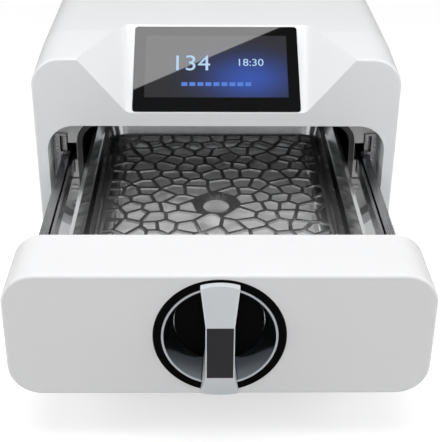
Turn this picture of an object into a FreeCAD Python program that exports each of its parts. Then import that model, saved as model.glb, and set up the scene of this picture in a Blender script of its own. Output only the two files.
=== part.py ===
import FreeCAD
import Part
import math
import os
import random
from FreeCAD import Placement, Rotation, Vector

# Millimetres. +X is to the viewer's right, +Y points from the front to the back, +Z is up.
# The pieces are placed from the front plane of the housing (y = 0), and are moved at the end
# so that the origin lies on the table, in the middle of the whole object's footprint.

# Housing
housing_width = 252.0
housing_height = 162.0
housing_depth = 506.0
front_drop = 3.4
front_rise_length = 50.0
shoulder_radius = 20.0
bottom_radius = 10.0
front_edge_radius = 1.5
cover_wall = 3.0
bottom_margin = 18.0

# Feet
foot_height = 6.0
foot_radius = 10.0
foot_inset_x = 30.0
foot_inset_y = 40.0

# Facet that carries the screen, sloping down to the front plane
facet_rise = 42.0
facet_angle = 33.0
facet_beside_glass = 3.7
flank_flare = 4.2
flank_to_side = 31.6
facet_blend = 7.0

# Screen, measured along the facet
glass_width = 116.2
glass_height = 74.2
glass_thickness = 2.1
glass_radius = 2.5
glass_from_foot = 0.8
glass_proud = 0.3
glass_clearance = 0.25
display_width = 103.0
display_height = 56.0
display_from_foot = 8.0
display_thickness = 5.5
board_thickness = 1.6

# Drawer opening in the front
opening_to_side = 8.0
opening_bottom = 30.3
opening_below_facet = 9.9
opening_radius = 19.0
liner_depth = 22.0
liner_wall = 2.6
frame_depth = 9.0
frame_thickness = 2.2
frame_step = 0.8

# Chassis
plate_thickness = 2.0
seam_below_knob = 10.9
seam_gap = 1.6
sheet = 1.5
pan_thickness = 1.5
side_frame_extra = 18.0
shelf_above_opening = 4.9
shelf_front = 70.0
shelf_shorter = 50.0

# Chamber, set between the slides and in the middle of the opening
chamber_to_slide = 6.6
chamber_in_opening = 8.5
depth_behind_chamber = 206.0
chamber_radius = 14.0
chamber_wall = 2.0
mouth_rim = 3.5
mouth_proud = 0.5
insulation_height = 10.0
insulation_side = 2.4
insulation_front = 45.0
insulation_shorter = 45.0
heater_thickness = 3.0

# Drawer front, and how far it is pulled out
front_gap = 1.2
front_depth = 44.2
front_wall = 3.0
closed_gap = 2.5
drawer_drawn = 171.1

# Knob, in line with the middle of the opening and of the chamber
ring_to_edge = 2.2
ring_width = 4.6
ring_proud = 0.8
bowl_width = 11.0
bowl_depth = 15.0
bowl_ledge = 4.5
bowl_lip = 0.3
bowl_wall = 1.2
grip_in_ring = 1.1
grip_rise = 15.3
grip_end_rise = 5.0
grip_plate_length = 32.2
grip_plate_width = 15.2
grip_end_width = 21.8
grip_plate_thickness = 0.8
shaft_radius = 5.0
running_clearance = 0.05
turning_gap = 0.4

# Door carrier, lock cam and lock arms
carrier_back = 19.5
carrier_thickness = 2.5
cam_radius = 26.0
cam_thickness = 3.5
cam_pin_radius = 2.0
cam_pin_circle = 16.0
lock_travel = 3.0
arm_thickness = 3.0
arm_above_slide = 0.9
arm_height = 6.5
toe_reach = 2.8
toe_depth = 4.0
slack = 0.3

# Chamber door and gasket
door_thickness = 2.0
door_dish = 4.0
gasket_thickness = 5.0
gasket_width = 3.0

# Tray, its support and its perforated insert
tray_side_gap = 5.0
tray_end_room = 34.0
tray_headroom = 18.0
tray_ground_gap = 2.0
tray_front_gap = 3.4
tray_radius = 16.0
tray_wall = 1.0
insert_side_gap = 12.1
insert_share = 0.3785
insert_thickness = 1.5
insert_end_gap = 13.0
insert_radius = 9.0
cell_pitch = 14.2
strut_width = 2.7
dish_radius = 16.5
dish_hole_radius = 9.3
dish_drop = 2.5
leg_inset = 9.0
support_thickness = 1.5
support_width = 8.0
support_inset = 27.5

# Slides
slide_inset = 4.9
slide_below_knob = 7.2
slide_height = 16.6
rail_metal = 1.2
rail_depth = 7.0
middle_depth = 5.6
middle_lead = 4.5
middle_extra = 20.0
member_depth = 2.8
member_metal = 1.9
member_height = 10.2
member_extra = 12.0
tongue_thickness = 1.6
groove_gap = 0.4

# Keeper bracket and strike roller
keeper_inset = 1.6
keeper_width = 4.0
keeper_above_slide = 3.0
keeper_below_opening = 14.6
roller_inset = 6.8
roller_radius = 2.4
roller_above_arm = 1.0
roller_below_keeper = 2.2
roller_pin_radius = 1.5
roller_behind_front = 2.5

# Rear
rear_panel_inset = 2.0
fan_size = 80.0
fan_depth = 25.0
fan_to_side = 26.0
fan_z = 70.0
fan_blades = 7
fan_hub_radius = 14.0
fan_tip_gap = 4.0
fan_pin_radius = 1.5
spigot_radius = 4.0
spigot_length = 12.0
spigot_z = 30.0
spigot_spacing = 20.0
inlet_to_side = 34.0
rocker_from_inlet = 36.0
socket_z = 38.0
rocker_width = 12.0
rocker_height = 20.0
rocker_tilt = 8.0
rocker_pin_radius = 1.2
filter_radius = 20.0
filter_to_side = 64.0
filter_z = 104.0

# Pieces behind the chamber and on the shelf
piece_to_side = 18.0
plain_gap = 4.0
generator_radius = 28.0
generator_behind = 53.5
generator_rise = 34.5
pump_behind = 24.5
pump_width = 40.0
pump_length = 56.0
pump_height = 58.0
motor_radius = 24.0
motor_length = 58.0
valve_front = 77.5
supply_height = 30.0
board_gap = 5.0

# Derived places
half_width = housing_width / 2
cover_bottom = foot_height
inner_floor = cover_bottom + cover_wall
pan_top = inner_floor + pan_thickness
front_top = housing_height - front_drop
rear_inside = housing_depth - rear_panel_inset - sheet
rear_outside = rear_inside + sheet

facet_foot = housing_height - facet_rise
facet_half_width = glass_width / 2 + facet_beside_glass
flank_half_width = half_width - flank_to_side
flank_rear_half_width = facet_half_width + flank_flare

half_opening = half_width - opening_to_side
opening_top = facet_foot - opening_below_facet
knob_centre = (opening_bottom + opening_top) / 2
plate_front = liner_depth
plate_back = plate_front + plate_thickness
seam_low = knob_centre - seam_below_knob - seam_gap / 2
seam_high = seam_low + seam_gap

slide_outer = half_opening - slide_inset
slide_low = knob_centre - slide_below_knob
middle_outer = slide_outer - rail_metal - groove_gap
member_inner = middle_outer - middle_depth - member_depth
arm_low = slide_low + slide_height + arm_above_slide
arm_high = arm_low + arm_height
keeper_outer = half_opening - keeper_inset
keeper_low = slide_low + keeper_above_slide
keeper_high = opening_top - keeper_below_opening
roller_centre = keeper_outer - roller_inset
roller_low = arm_low + roller_above_arm
roller_height = keeper_high - roller_below_keeper - roller_low

mouth_front = plate_front - mouth_proud
chamber_half = member_inner - chamber_to_slide
chamber_height = opening_top - opening_bottom - 2 * chamber_in_opening
chamber_depth = housing_depth - depth_behind_chamber
chamber_low = knob_centre - chamber_height / 2
chamber_high = knob_centre + chamber_height / 2
chamber_rear = mouth_front + chamber_depth
insulation_length = chamber_depth - insulation_shorter
side_frame_length = chamber_depth + side_frame_extra
shelf_height = opening_top + shelf_above_opening
shelf_length = chamber_depth - shelf_shorter
middle_length = chamber_depth + middle_extra
member_length = chamber_depth + member_extra

front_half = half_opening - front_gap
front_low = opening_bottom + front_gap
front_high = opening_top - front_gap
front_radius = opening_radius - front_gap / 2
closed_rear = plate_front - closed_gap
closed_front = closed_rear - front_depth
front_y = closed_front - drawer_drawn
ring_radius = front_high - knob_centre - ring_to_edge
bowl_floor_radius = ring_radius - bowl_width
ledge_radius = bowl_floor_radius - bowl_ledge
grip_radius = ring_radius - grip_in_ring
door_rear = mouth_front - slack - drawer_drawn - gasket_thickness
carrier_y = front_y + carrier_back
cam_y = carrier_y + carrier_thickness + slack
arm_y = cam_y + cam_thickness + slack
lock_turn = math.radians(90.0)

tray_width = 2 * (chamber_half - tray_side_gap)
tray_length = chamber_depth - tray_end_room
tray_top = chamber_high - tray_headroom
tray_bottom = chamber_low + tray_ground_gap
tray_front = door_rear + gasket_thickness + tray_front_gap
tray_rear = tray_front + tray_length
insert_width = tray_width - 2 * insert_side_gap
insert_top = tray_bottom + (tray_top - tray_bottom) * insert_share
support_half_track = tray_width / 2 - support_inset

fan_x = half_width - fan_to_side - fan_size / 2
fan_blade_radius = fan_size / 2 - fan_tip_gap
inlet_x = inlet_to_side - half_width
rocker_x = inlet_x + rocker_from_inlet
rocker_axis_y = rear_outside - 3
filter_x = filter_to_side - half_width
shelf_top = shelf_height + sheet


def box(x0, x1, y0, y1, z0, z1):
    return Part.makeBox(x1 - x0, y1 - y0, z1 - z0, Vector(x0, y0, z0))


def rod(radius, start, end):
    start = Vector(*start)
    along = Vector(*end) - start
    return Part.makeCylinder(radius, along.Length, start, along)


def hexagon(radius, x, z, y0, y1):
    """Six-sided bar along Y, such as a nut or a socket."""
    corners = []
    for index in range(6):
        angle = math.radians(60 * index)
        corners.append(Vector(x + radius * math.cos(angle), y0, z + radius * math.sin(angle)))
    return Part.Face(Part.makePolygon(corners + [corners[0]])).extrude(Vector(0, y1 - y0, 0))


def fuse(solids):
    solids = list(solids)
    return solids[0].multiFuse(solids[1:]).removeSplitter() if len(solids) > 1 else solids[0]


def mirrored(shape):
    return shape.mirror(Vector(0, 0, 0), Vector(1, 0, 0))


def both_sides(shape):
    return [shape, mirrored(shape)]


def rounded_loop(x0, x1, v0, v1, radii):
    """Closed wire in the XY plane; radii are for the corners (x0,v0), (x1,v0), (x1,v1), (x0,v1)."""
    corners = [(x0, v0, 1, 1), (x1, v0, -1, 1), (x1, v1, -1, -1), (x0, v1, 1, -1)]
    diagonal = 1 - math.sqrt(0.5)
    points = []
    for (x, v, sx, sv), r in zip(corners, radii):
        first = Vector(x, v + sv * r, 0)
        last = Vector(x + sx * r, v, 0)
        if sx * sv < 0:
            first, last = last, first
        points.append((first, Vector(x + sx * r * diagonal, v + sv * r * diagonal, 0), last))
    edges = []
    for index, (first, middle, last) in enumerate(points):
        before = points[index - 1][2]
        if before.distanceToPoint(first) > 1e-6:
            edges.append(Part.LineSegment(before, first).toShape())
        edges.append(Part.Arc(first, middle, last).toShape())
    return Part.Wire(edges)


def upright_loop(half, z0, z1, radii, y):
    """Rounded rectangle in a plane that faces the front, at depth y."""
    loop = rounded_loop(-half, half, z0, z1, radii)
    loop.rotate(Vector(0, 0, 0), Vector(1, 0, 0), 90)
    loop.translate(Vector(0, y, 0))
    return loop


def upright_block(half, z0, z1, radius, y0, y1):
    face = Part.Face(upright_loop(half, z0, z1, [radius] * 4, y0))
    return face.extrude(Vector(0, y1 - y0, 0))


def flat_loop(half, y0, y1, radius, z):
    loop = rounded_loop(-half, half, y0, y1, [radius] * 4)
    loop.translate(Vector(0, 0, z))
    return loop


def flat_block(half, y0, y1, radius, z0, z1):
    return Part.Face(flat_loop(half, y0, y1, radius, z0)).extrude(Vector(0, 0, z1 - z0))


def half_space(point, normal):
    """Large block that fills the side of a plane that its normal points to."""
    size = 4 * housing_depth
    block = Part.makeBox(size, size, size, Vector(-size / 2, -size / 2, 0))
    block.Placement = Placement(point, Rotation(Vector(0, 0, 1), normal))
    return block


def turned(profile, point, axis):
    """Solid of revolution of a closed polygon about an axis."""
    face = Part.Face(Part.makePolygon(profile + [profile[0]]))
    return face.revolve(point, axis, 360)


def knob_turned(profile):
    """Turns a list of (radius, height above the drawer front) about the knob's axis."""
    points = [Vector(radius, front_y - height, knob_centre) for radius, height in profile]
    return turned(points, Vector(0, 0, knob_centre), Vector(0, 1, 0))


def on_facet(shape):
    """Moves a shape made in the facet's own frame (x, up the slope, out of it) onto the facet."""
    shape.rotate(Vector(0, 0, 0), Vector(1, 0, 0), facet_angle)
    shape.translate(Vector(0, 0, facet_foot))
    return shape


def facet_block(half, v0, v1, radius, n0, n1):
    return on_facet(flat_block(half, v0, v1, radius, n0, n1))


# Outer cover

def cover_body(inset):
    """The housing's outer form, or its inside when inset by the wall."""
    half = half_width - inset
    low = cover_bottom + inset
    radii = [bottom_radius - inset] * 2 + [shoulder_radius - inset] * 2
    front = upright_loop(half, low, front_top - inset, radii, inset)
    middle = upright_loop(half, low, housing_height - inset, radii, front_rise_length)
    rise = Part.makeLoft([front, middle], True, True)
    back = Part.Face(middle).extrude(Vector(0, housing_depth - front_rise_length, 0))
    return rise.fuse(back).removeSplitter()


def facet_cut(offset):
    """What the sloping facet and its two flanks take off the front of the cover."""
    slope = math.radians(facet_angle)
    top_y = (housing_height - facet_foot) / math.tan(slope)
    facet_normal = Vector(0, -math.sin(slope), math.cos(slope))
    cut = half_space(Vector(0, 0, facet_foot) - facet_normal * offset, facet_normal)
    for side in (1, -1):
        low = Vector(side * facet_half_width, 0, facet_foot)
        high = Vector(side * flank_half_width, 0, front_top)
        rear = Vector(side * flank_rear_half_width, top_y, housing_height)
        normal = (high - low).cross(rear - low) * side
        normal.normalize()
        if normal.z < 0:
            normal = normal * -1
        cut = cut.common(half_space(low - normal * offset, normal))
    reach = box(-half_width, half_width, -20, top_y + 40, facet_foot - 20, housing_height + 20)
    cut = cut.common(reach)
    slope_line = Vector(0, math.cos(slope), math.sin(slope))
    creases = []
    for edge in cut.Edges:
        ends = [vertex.Point for vertex in edge.Vertexes]
        along = (ends[1] - ends[0]).normalize()
        on_plane = all(abs((p - Vector(0, 0, facet_foot)).dot(facet_normal) + offset) < 0.01 for p in ends)
        if on_plane and abs(along.dot(slope_line)) > 0.9:
            creases.append(edge)
    return cut.makeFillet(facet_blend + offset, creases)


def front_edges(shape):
    """Edges of the outer form that lie in the front plane."""
    return [e for e in shape.Edges if e.BoundBox.YMax < 0.01]


def outer_cover():
    outside = cover_body(0)
    outside = outside.makeFillet(front_edge_radius, front_edges(outside))
    inside = cover_body(cover_wall).cut(facet_cut(cover_wall))
    shell = outside.cut(facet_cut(0)).cut(inside)
    liner = upright_block(half_opening + liner_wall, opening_bottom - liner_wall, opening_top + liner_wall,
                          opening_radius + liner_wall, 0.5, liner_depth)
    shell = shell.fuse(liner)
    hole = upright_block(half_opening, opening_bottom, opening_top, opening_radius, -5, liner_depth + 1)
    rebate = frame_outline(frame_thickness - frame_step, liner_depth - frame_depth, liner_depth + 1)
    floor_hole = box(-half_width + bottom_margin, half_width - bottom_margin, bottom_margin,
                     housing_depth + 1, 0, inner_floor + 1)
    rear_hole = box(-half_width, half_width, housing_depth - 1, housing_depth + 5, 0, housing_height)
    rear_hole = rear_hole.common(cover_body(cover_wall))
    shell = shell.cut(hole).cut(rebate).cut(floor_hole).cut(rear_hole)
    pocket = facet_block(glass_width / 2 + glass_clearance, glass_from_foot - glass_clearance,
                         glass_from_foot + glass_height + glass_clearance, glass_radius,
                         glass_proud - glass_thickness, 8)
    window = facet_block(display_width / 2 + 0.5, display_from_foot - 0.5,
                         display_from_foot + display_height + 0.5, 2, -3 * cover_wall, 0)
    shell = shell.fuse(board_posts())
    return shell.cut(pocket).cut(window).removeSplitter()


def board_posts():
    """Posts behind the facet that the display board is screwed to."""
    low = glass_proud - glass_thickness - display_thickness
    high = -cover_wall + 0.5
    posts = []
    for x in (-display_width / 2 - 4.5, display_width / 2 + 4.5):
        for v in (display_from_foot, display_from_foot + display_height):
            post = Part.makeCylinder(2.5, high - low, Vector(x, v, low))
            posts.append(on_facet(post))
    return Part.makeCompound(posts)


def frame_outline(grow, y0, y1):
    """Block with the opening's outline, grown by the given amount all round."""
    return upright_block(half_opening + grow, opening_bottom - grow, opening_top + grow,
                         opening_radius + grow, y0, y1)


def opening_frame():
    y0 = liner_depth - frame_depth
    ring = frame_outline(frame_thickness - frame_step, y0, liner_depth)
    return ring.cut(frame_outline(-frame_step, y0 - 1, liner_depth + 1))


# Screen

def screen_glass():
    return facet_block(glass_width / 2, glass_from_foot, glass_from_foot + glass_height, glass_radius,
                       glass_proud - glass_thickness, glass_proud)


def display_module():
    back = glass_proud - glass_thickness
    return facet_block(display_width / 2, display_from_foot, display_from_foot + display_height, 1.5,
                       back - display_thickness, back)


def display_board():
    back = glass_proud - glass_thickness - display_thickness
    board = facet_block(display_width / 2 + 8, display_from_foot - 4, display_from_foot + display_height + 4, 2,
                        back - board_thickness, back)
    parts = [facet_block(12, 14, 30, 0.5, back - board_thickness - 2.5, back - board_thickness)]
    parts.append(facet_block(30, 48, 56, 0.5, back - board_thickness - 5, back - board_thickness))
    return fuse([board] + parts)


# Chassis

def slide_slot():
    """Openings beside the chamber mouth, on the right: for the slide, the lock arm and the keeper."""
    y0 = plate_front - 2
    y1 = plate_back + 2
    slide = box(member_inner - 0.5, middle_outer + 0.7, y0, y1, slide_low + 1, slide_low + slide_height - 1)
    arm = box(member_inner - 2.5, roller_centre - 1.6, y0, y1, slide_low + 10.8, arm_high + 0.6)
    keeper = box(roller_centre - roller_radius - 0.4, keeper_outer - keeper_width + 0.3, y0, y1,
                 roller_low - 1.9, roller_low + roller_height + 1.9)
    notch = box(middle_outer, keeper_outer - 2.4, y0, y1, slide_low + 8, slide_low + 14)
    return fuse([slide, arm, keeper, notch])


def front_plate():
    grow = liner_wall
    plate = frame_outline(grow, plate_front, plate_back)
    mouth = upright_block(chamber_half + mouth_rim + slack, chamber_low - mouth_rim - slack,
                          chamber_high + mouth_rim + slack, chamber_radius + mouth_rim,
                          plate_front - 1, plate_back + 1)
    plate = plate.cut(mouth)
    for slot in both_sides(slide_slot()):
        plate = plate.cut(slot)
    return plate


def front_plate_upper():
    low = box(-half_width, half_width, 0, plate_back + 1, 0, seam_high)
    return front_plate().cut(low)


def front_plate_lower():
    high = box(-half_width, half_width, 0, plate_back + 1, seam_low, housing_height)
    return front_plate().cut(high)


def plate_screws():
    """Pan-head screws in the lower plate and small screws in the keeper brackets, both sides."""
    screws = []
    plate_x = chamber_half + mouth_rim + 3.5
    keeper_x = keeper_outer - 1.7
    lowest = opening_bottom + (seam_low - opening_bottom) * 0.27
    for x, z, y, radius, height in ((plate_x, seam_low - 7.2, plate_front, 3.0, 1.8),
                                    (plate_x, lowest, plate_front, 3.0, 1.8),
                                    (keeper_x, keeper_high - 8.5, plate_front - sheet, 0.9, 0.5),
                                    (keeper_x, keeper_high - 11.5, plate_front - sheet, 0.9, 0.5)):
        head = rod(radius, (x, y - height, z), (x, y, z))
        slot = box(x - radius, x + radius, y - height, y - height * 0.5, z - radius * 0.15, z + radius * 0.15)
        screws += both_sides(head.cut(slot))
    return Part.makeCompound(screws)


def keeper():
    """Right keeper: a flange on the front plate, two ears and the pin of the strike roller."""
    y0 = plate_front - sheet
    inner = keeper_outer - keeper_width
    flange = box(inner, keeper_outer, y0, plate_front, keeper_low, keeper_high)
    roller_y = plate_front + roller_behind_front
    roller_high = roller_low + roller_height
    ears = []
    for z in (roller_low - slack - sheet, roller_high + slack):
        ears.append(box(roller_centre - roller_radius + 0.2, inner + 0.2, y0, roller_y + roller_radius + slack, z,
                        z + sheet))
    pin = rod(roller_pin_radius, (roller_centre, roller_y, roller_low - slack - sheet / 2),
              (roller_centre, roller_y, roller_high + slack + sheet / 2))
    return fuse([flange, pin] + ears)


def strike_roller():
    centre = (roller_centre, plate_front + roller_behind_front)
    sleeve = rod(roller_radius, (*centre, roller_low), (*centre, roller_low + roller_height))
    bore = rod(roller_pin_radius + running_clearance, (*centre, 0), (*centre, housing_height))
    return sleeve.cut(bore)


def side_frame():
    """Right side frame: a folded sheet that stands on the pan and carries the fixed rail."""
    web = box(slide_outer, slide_outer + sheet, plate_back, plate_back + side_frame_length, pan_top, shelf_height)
    foot = box(slide_outer - 8, slide_outer + sheet, plate_back, plate_back + side_frame_length,
               pan_top, pan_top + sheet)
    frame = web.fuse(foot)
    for index in range(4):
        y = plate_back + side_frame_length * (index + 0.5) / 4
        frame = frame.cut(rod(14, (slide_outer - 5, y, slide_low - 25), (slide_outer + 5, y, slide_low - 25)))
    return frame.removeSplitter()


def base_pan():
    """Bottom sheet with two rows of punched slots that let air in."""
    half = half_width - bottom_radius - slack
    pan = flat_block(half, cover_wall + 2, rear_inside, 6, inner_floor, pan_top)
    slots = []
    for row in (1, 2):
        for index in range(9):
            x = 16 * (index - 4)
            y = row * chamber_depth / 2
            slots.append(box(x - 2, x + 2, y - 30, y + 30, inner_floor - 1, pan_top + 1))
    return pan.cut(Part.makeCompound(slots))


def feet():
    """Four turned rubber feet under the pan, with a dished underside."""
    shapes = []
    profile = [(0, 1.0), (foot_radius * 0.4, 1.0), (foot_radius * 0.5, 0), (foot_radius * 0.85, 0),
               (foot_radius, foot_height * 0.8), (foot_radius, inner_floor), (0, inner_floor)]
    for x in (-half_width + foot_inset_x, half_width - foot_inset_x):
        for y in (foot_inset_y, housing_depth - foot_inset_y):
            points = [Vector(x + radius, y, z) for radius, z in profile]
            shapes.append(turned(points, Vector(x, y, 0), Vector(0, 0, 1)))
    return Part.makeCompound(shapes)


def electronics_shelf():
    half = slide_outer + sheet
    shelf = box(-half, half, shelf_front, shelf_front + shelf_length, shelf_height, shelf_height + sheet)
    lip = box(-half, half, shelf_front, shelf_front + sheet, shelf_height, shelf_height + 6)
    return shelf.fuse(lip).removeSplitter()


# Chamber

def chamber_block(grow, y0, y1):
    """Block with the chamber's inner outline, grown by the given amount all round."""
    return upright_block(chamber_half + grow, chamber_low - grow, chamber_high + grow, chamber_radius + grow,
                         y0, y1)


def chamber_vessel():
    rim = chamber_block(mouth_rim, mouth_front, plate_back + 1)
    tube = chamber_block(chamber_wall, mouth_front, chamber_rear + chamber_wall)
    vessel = rim.fuse(tube).cut(chamber_block(0, mouth_front - 1, chamber_rear))
    for x, z in ((-60, chamber_high - 12), (0, chamber_low + 10)):
        vessel = vessel.fuse(rod(4, (x, chamber_rear + 1, z), (x, chamber_rear + 14, z)))
        vessel = vessel.cut(rod(2.5, (x, chamber_rear - 1, z), (x, chamber_rear + 15, z)))
    return vessel.removeSplitter()


def chamber_heaters():
    """Flat heating pads on the top and the bottom of the vessel."""
    half = chamber_half - chamber_radius
    y0 = insulation_front + 15
    y1 = insulation_front + insulation_length - 15
    top = chamber_high + chamber_wall
    bottom = chamber_low - chamber_wall
    return Part.makeCompound([flat_block(half, y0, y1, 8, top, top + heater_thickness),
                              flat_block(half, y0, y1, 8, bottom - heater_thickness, bottom)])


def chamber_insulation():
    half = chamber_half + chamber_wall + insulation_side
    low = chamber_low - chamber_wall - insulation_height
    high = chamber_high + chamber_wall + insulation_height
    y1 = insulation_front + insulation_length
    wrap = upright_block(half, low, high, chamber_radius, insulation_front, y1)
    wrap = wrap.cut(chamber_block(chamber_wall + 0.05, insulation_front - 1, y1 + 1))
    for pad in chamber_heaters().Solids:
        wrap = wrap.cut(pad)
    return wrap


def drain_filter():
    y = chamber_rear - 14
    disc = rod(9, (0, y, chamber_low), (0, y, chamber_low + 1.2))
    for index in range(6):
        angle = math.radians(60 * index)
        x = 5 * math.cos(angle)
        hole_y = y + 5 * math.sin(angle)
        disc = disc.cut(rod(1, (x, hole_y, 0), (x, hole_y, housing_height)))
    return disc


def chamber_saddles():
    """Two folded sheets that carry the vessel on the pan, before and behind the insulation."""
    saddles = []
    top = chamber_low - chamber_wall
    half = chamber_half - chamber_radius
    for y in (insulation_front - 12, insulation_front + insulation_length + 3):
        web = box(-half, half, y, y + sheet, pan_top, top)
        foot = box(-half, half, y, y + 9, pan_top, pan_top + sheet)
        head = box(-half, half, y, y + 9, top - sheet, top)
        saddles.append(fuse([web, foot, head]))
    return Part.makeCompound(saddles)


# Slides, right side

def fixed_rail():
    """Channel that opens inwards and holds the middle member."""
    y0 = plate_back + slack
    y1 = plate_back + side_frame_length
    high = slide_low + slide_height
    outer = box(slide_outer - rail_depth, slide_outer, y0, y1, slide_low, high)
    inner = box(slide_outer - rail_depth - 1, slide_outer - rail_metal, y0 - 1, y1 + 1,
                slide_low + rail_metal, high - rail_metal)
    return outer.cut(inner)


def middle_member():
    """Channel that runs in the fixed rail and holds the drawer member's tongue."""
    y0 = closed_front - drawer_drawn / 2 + middle_lead
    y1 = y0 + middle_length
    low = slide_low + rail_metal + groove_gap
    high = slide_low + slide_height - rail_metal - groove_gap
    outer = box(middle_outer - middle_depth, middle_outer, y0, y1, low, high)
    inner = box(middle_outer - middle_depth - 1, middle_outer - rail_metal, y0 - 1, y1 + 1,
                low + rail_metal, high - rail_metal)
    return outer.cut(inner)


def drawer_member():
    """Flat bar on the drawer, with a tongue that runs in the middle member."""
    y0 = carrier_y + carrier_thickness
    y1 = y0 + member_length
    centre = slide_low + slide_height / 2
    web = box(member_inner, member_inner + member_metal, y0, y1, centre - member_height / 2,
              centre + member_height / 2)
    tongue = box(member_inner + member_metal - 0.1, middle_outer - rail_metal - groove_gap, y0, y1,
                 centre - tongue_thickness / 2, centre + tongue_thickness / 2)
    return fuse([web, tongue])


# Drawer front and what hangs on it

def drawer_front():
    outer = upright_block(front_half, front_low, front_high, front_radius, front_y, front_y + front_depth)
    face = [e for e in outer.Edges if e.BoundBox.YMax < front_y + 0.01]
    outer = outer.makeFillet(1.6, face)
    hollow = upright_block(front_half - front_wall, front_low + front_wall, front_high - front_wall,
                           front_radius - front_wall, front_y + front_wall, front_y + front_depth + 1)
    cap = outer.cut(hollow)
    for x, z in carrier_holes():
        cap = cap.fuse(rod(4, (x, front_y + 1, z), (x, carrier_y, z)))
        cap = cap.cut(rod(1.6, (x, front_y + front_wall + 2, z), (x, carrier_y + 1, z)))
    hole = rod(ring_radius - 0.7, (0, front_y - 1, knob_centre), (0, front_y + front_wall + 1, knob_centre))
    return cap.cut(hole).removeSplitter()


def carrier_holes():
    x = front_half - front_wall - 10
    low = front_low + front_wall + 10
    high = front_high - front_wall - 10
    return [(-x, low), (x, low), (-x, high), (x, high)]


def door_carrier():
    """Steel plate in the drawer front: it bears the shaft and holds the slides and the door."""
    y0 = carrier_y
    y1 = carrier_y + carrier_thickness
    half = member_inner - 1
    plate = upright_block(half, front_low + front_wall + 3, front_high - front_wall - 3, 8, y0, y1)
    ears = []
    for x, z in carrier_holes():
        pad = 4.5
        inner_x = math.copysign(half - 12, x)
        low_x, high_x = sorted((inner_x, x + math.copysign(pad, x)))
        ears.append(box(low_x, high_x, y0, y1, z - pad, z + pad))
    centre = slide_low + slide_height / 2
    fold = box(member_inner - 2, member_inner, y0, y1 + 12, centre - member_height / 2, centre + member_height / 2)
    inside_fold = box(half - 2, member_inner, y0, y1, centre - member_height / 2, centre + member_height / 2)
    tab = box(member_inner - 2, member_inner + member_metal, y0, y1, centre - 4, centre + 4)
    plate = fuse([plate] + ears + both_sides(fuse([fold, inside_fold, tab])))
    for guide in both_sides(arm_guide()):
        plate = plate.fuse(guide)
    bore = rod(shaft_radius + running_clearance, (0, y0 - 1, knob_centre), (0, y1 + 1, knob_centre))
    plate = plate.cut(bore)
    for x, z in carrier_holes():
        plate = plate.cut(rod(2, (x, y0 - 1, z), (x, y1 + 1, z)))
    return plate.removeSplitter()


def arm_guide():
    """Folded loop on the carrier that the right lock arm slides in."""
    y0 = carrier_y + carrier_thickness
    y1 = arm_y + arm_thickness + slack + sheet
    x0 = 62
    x1 = 70
    block = box(x0, x1, y0 - 0.5, y1, arm_low - slack - sheet, arm_high + slack + sheet)
    way = box(x0 - 1, x1 + 1, arm_y - slack, arm_y + arm_thickness + slack, arm_low - slack, arm_high + slack)
    return block.cut(way)


def carrier_screws():
    """Cap screws with a hexagon socket that hold the carrier to the drawer front."""
    screws = []
    y = carrier_y + carrier_thickness
    for x, z in carrier_holes():
        head = rod(3.2, (x, y, z), (x, y + 2.2, z))
        stem = rod(1.5, (x, y - 9, z), (x, y + 0.5, z))
        screws.append(head.fuse(stem).cut(hexagon(1.5, x, z, y + 1, y + 3)))
    return Part.makeCompound(screws)


def door_posts():
    posts = []
    y0 = carrier_y + carrier_thickness
    rise = chamber_height / 2 - 2.3
    for x in (-48, 48):
        for z in (knob_centre - rise, knob_centre + rise):
            posts.append(rod(3.5, (x, y0, z), (x, door_rear - door_thickness, z)))
    return Part.makeCompound(posts)


def chamber_door():
    """Pressed plate with a raised middle that enters the chamber mouth."""
    y1 = door_rear
    plate = chamber_block(mouth_rim, y1 - door_thickness, y1)
    dish = chamber_block(-gasket_width - 4, y1 - door_thickness, y1 + door_dish)
    hollow = chamber_block(-gasket_width - 4 - door_thickness, y1 - door_thickness - 1, y1 + door_dish - door_thickness)
    return plate.fuse(dish).cut(hollow).removeSplitter()


def door_gasket():
    """Silicone ring that meets the chamber's mouth rim, with a lip groove along it."""
    y0 = door_rear
    y1 = door_rear + gasket_thickness
    ring = chamber_block(mouth_rim - 0.2, y0, y1).cut(chamber_block(mouth_rim - 0.2 - gasket_width, y0 - 1, y1 + 1))
    middle = mouth_rim - 0.2 - gasket_width / 2
    groove = chamber_block(middle + 0.5, y1 - 1.5, y1 + 1).cut(chamber_block(middle - 0.5, y1 - 2, y1 + 2))
    return ring.cut(groove)


# Knob

def knob_ring():
    inner = ring_radius - ring_width
    return knob_turned([(inner, 0.2), (inner, -4.2), (ring_radius - 1, -4.2), (ring_radius - 1, 0),
                        (ring_radius, 0), (ring_radius - 0.6, ring_proud), (inner + 0.5, ring_proud)])


def bowl_outer(height):
    """Radius of the bowl's inner face at a height above the drawer front."""
    rim = ring_radius - ring_width - bowl_wall - 0.05
    share = (bowl_lip - height) / (bowl_lip + bowl_depth)
    return rim + (bowl_floor_radius - rim) * share


def knob_bowl():
    """Cone from the ring down to the hub, with a rolled rim and a ledge behind the hub."""
    top = bowl_lip
    ledge = bowl_depth + 2.4 + turning_gap
    return knob_turned([(bowl_outer(top), top), (bowl_outer(-bowl_depth), -bowl_depth),
                        (bowl_floor_radius, -ledge), (ledge_radius, -ledge), (ledge_radius, -ledge - bowl_wall),
                        (bowl_floor_radius + bowl_wall, -ledge - bowl_wall),
                        (bowl_floor_radius + bowl_wall, -bowl_depth), (bowl_outer(-1) + bowl_wall, -1),
                        (bowl_outer(top) + bowl_wall, top)])


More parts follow.
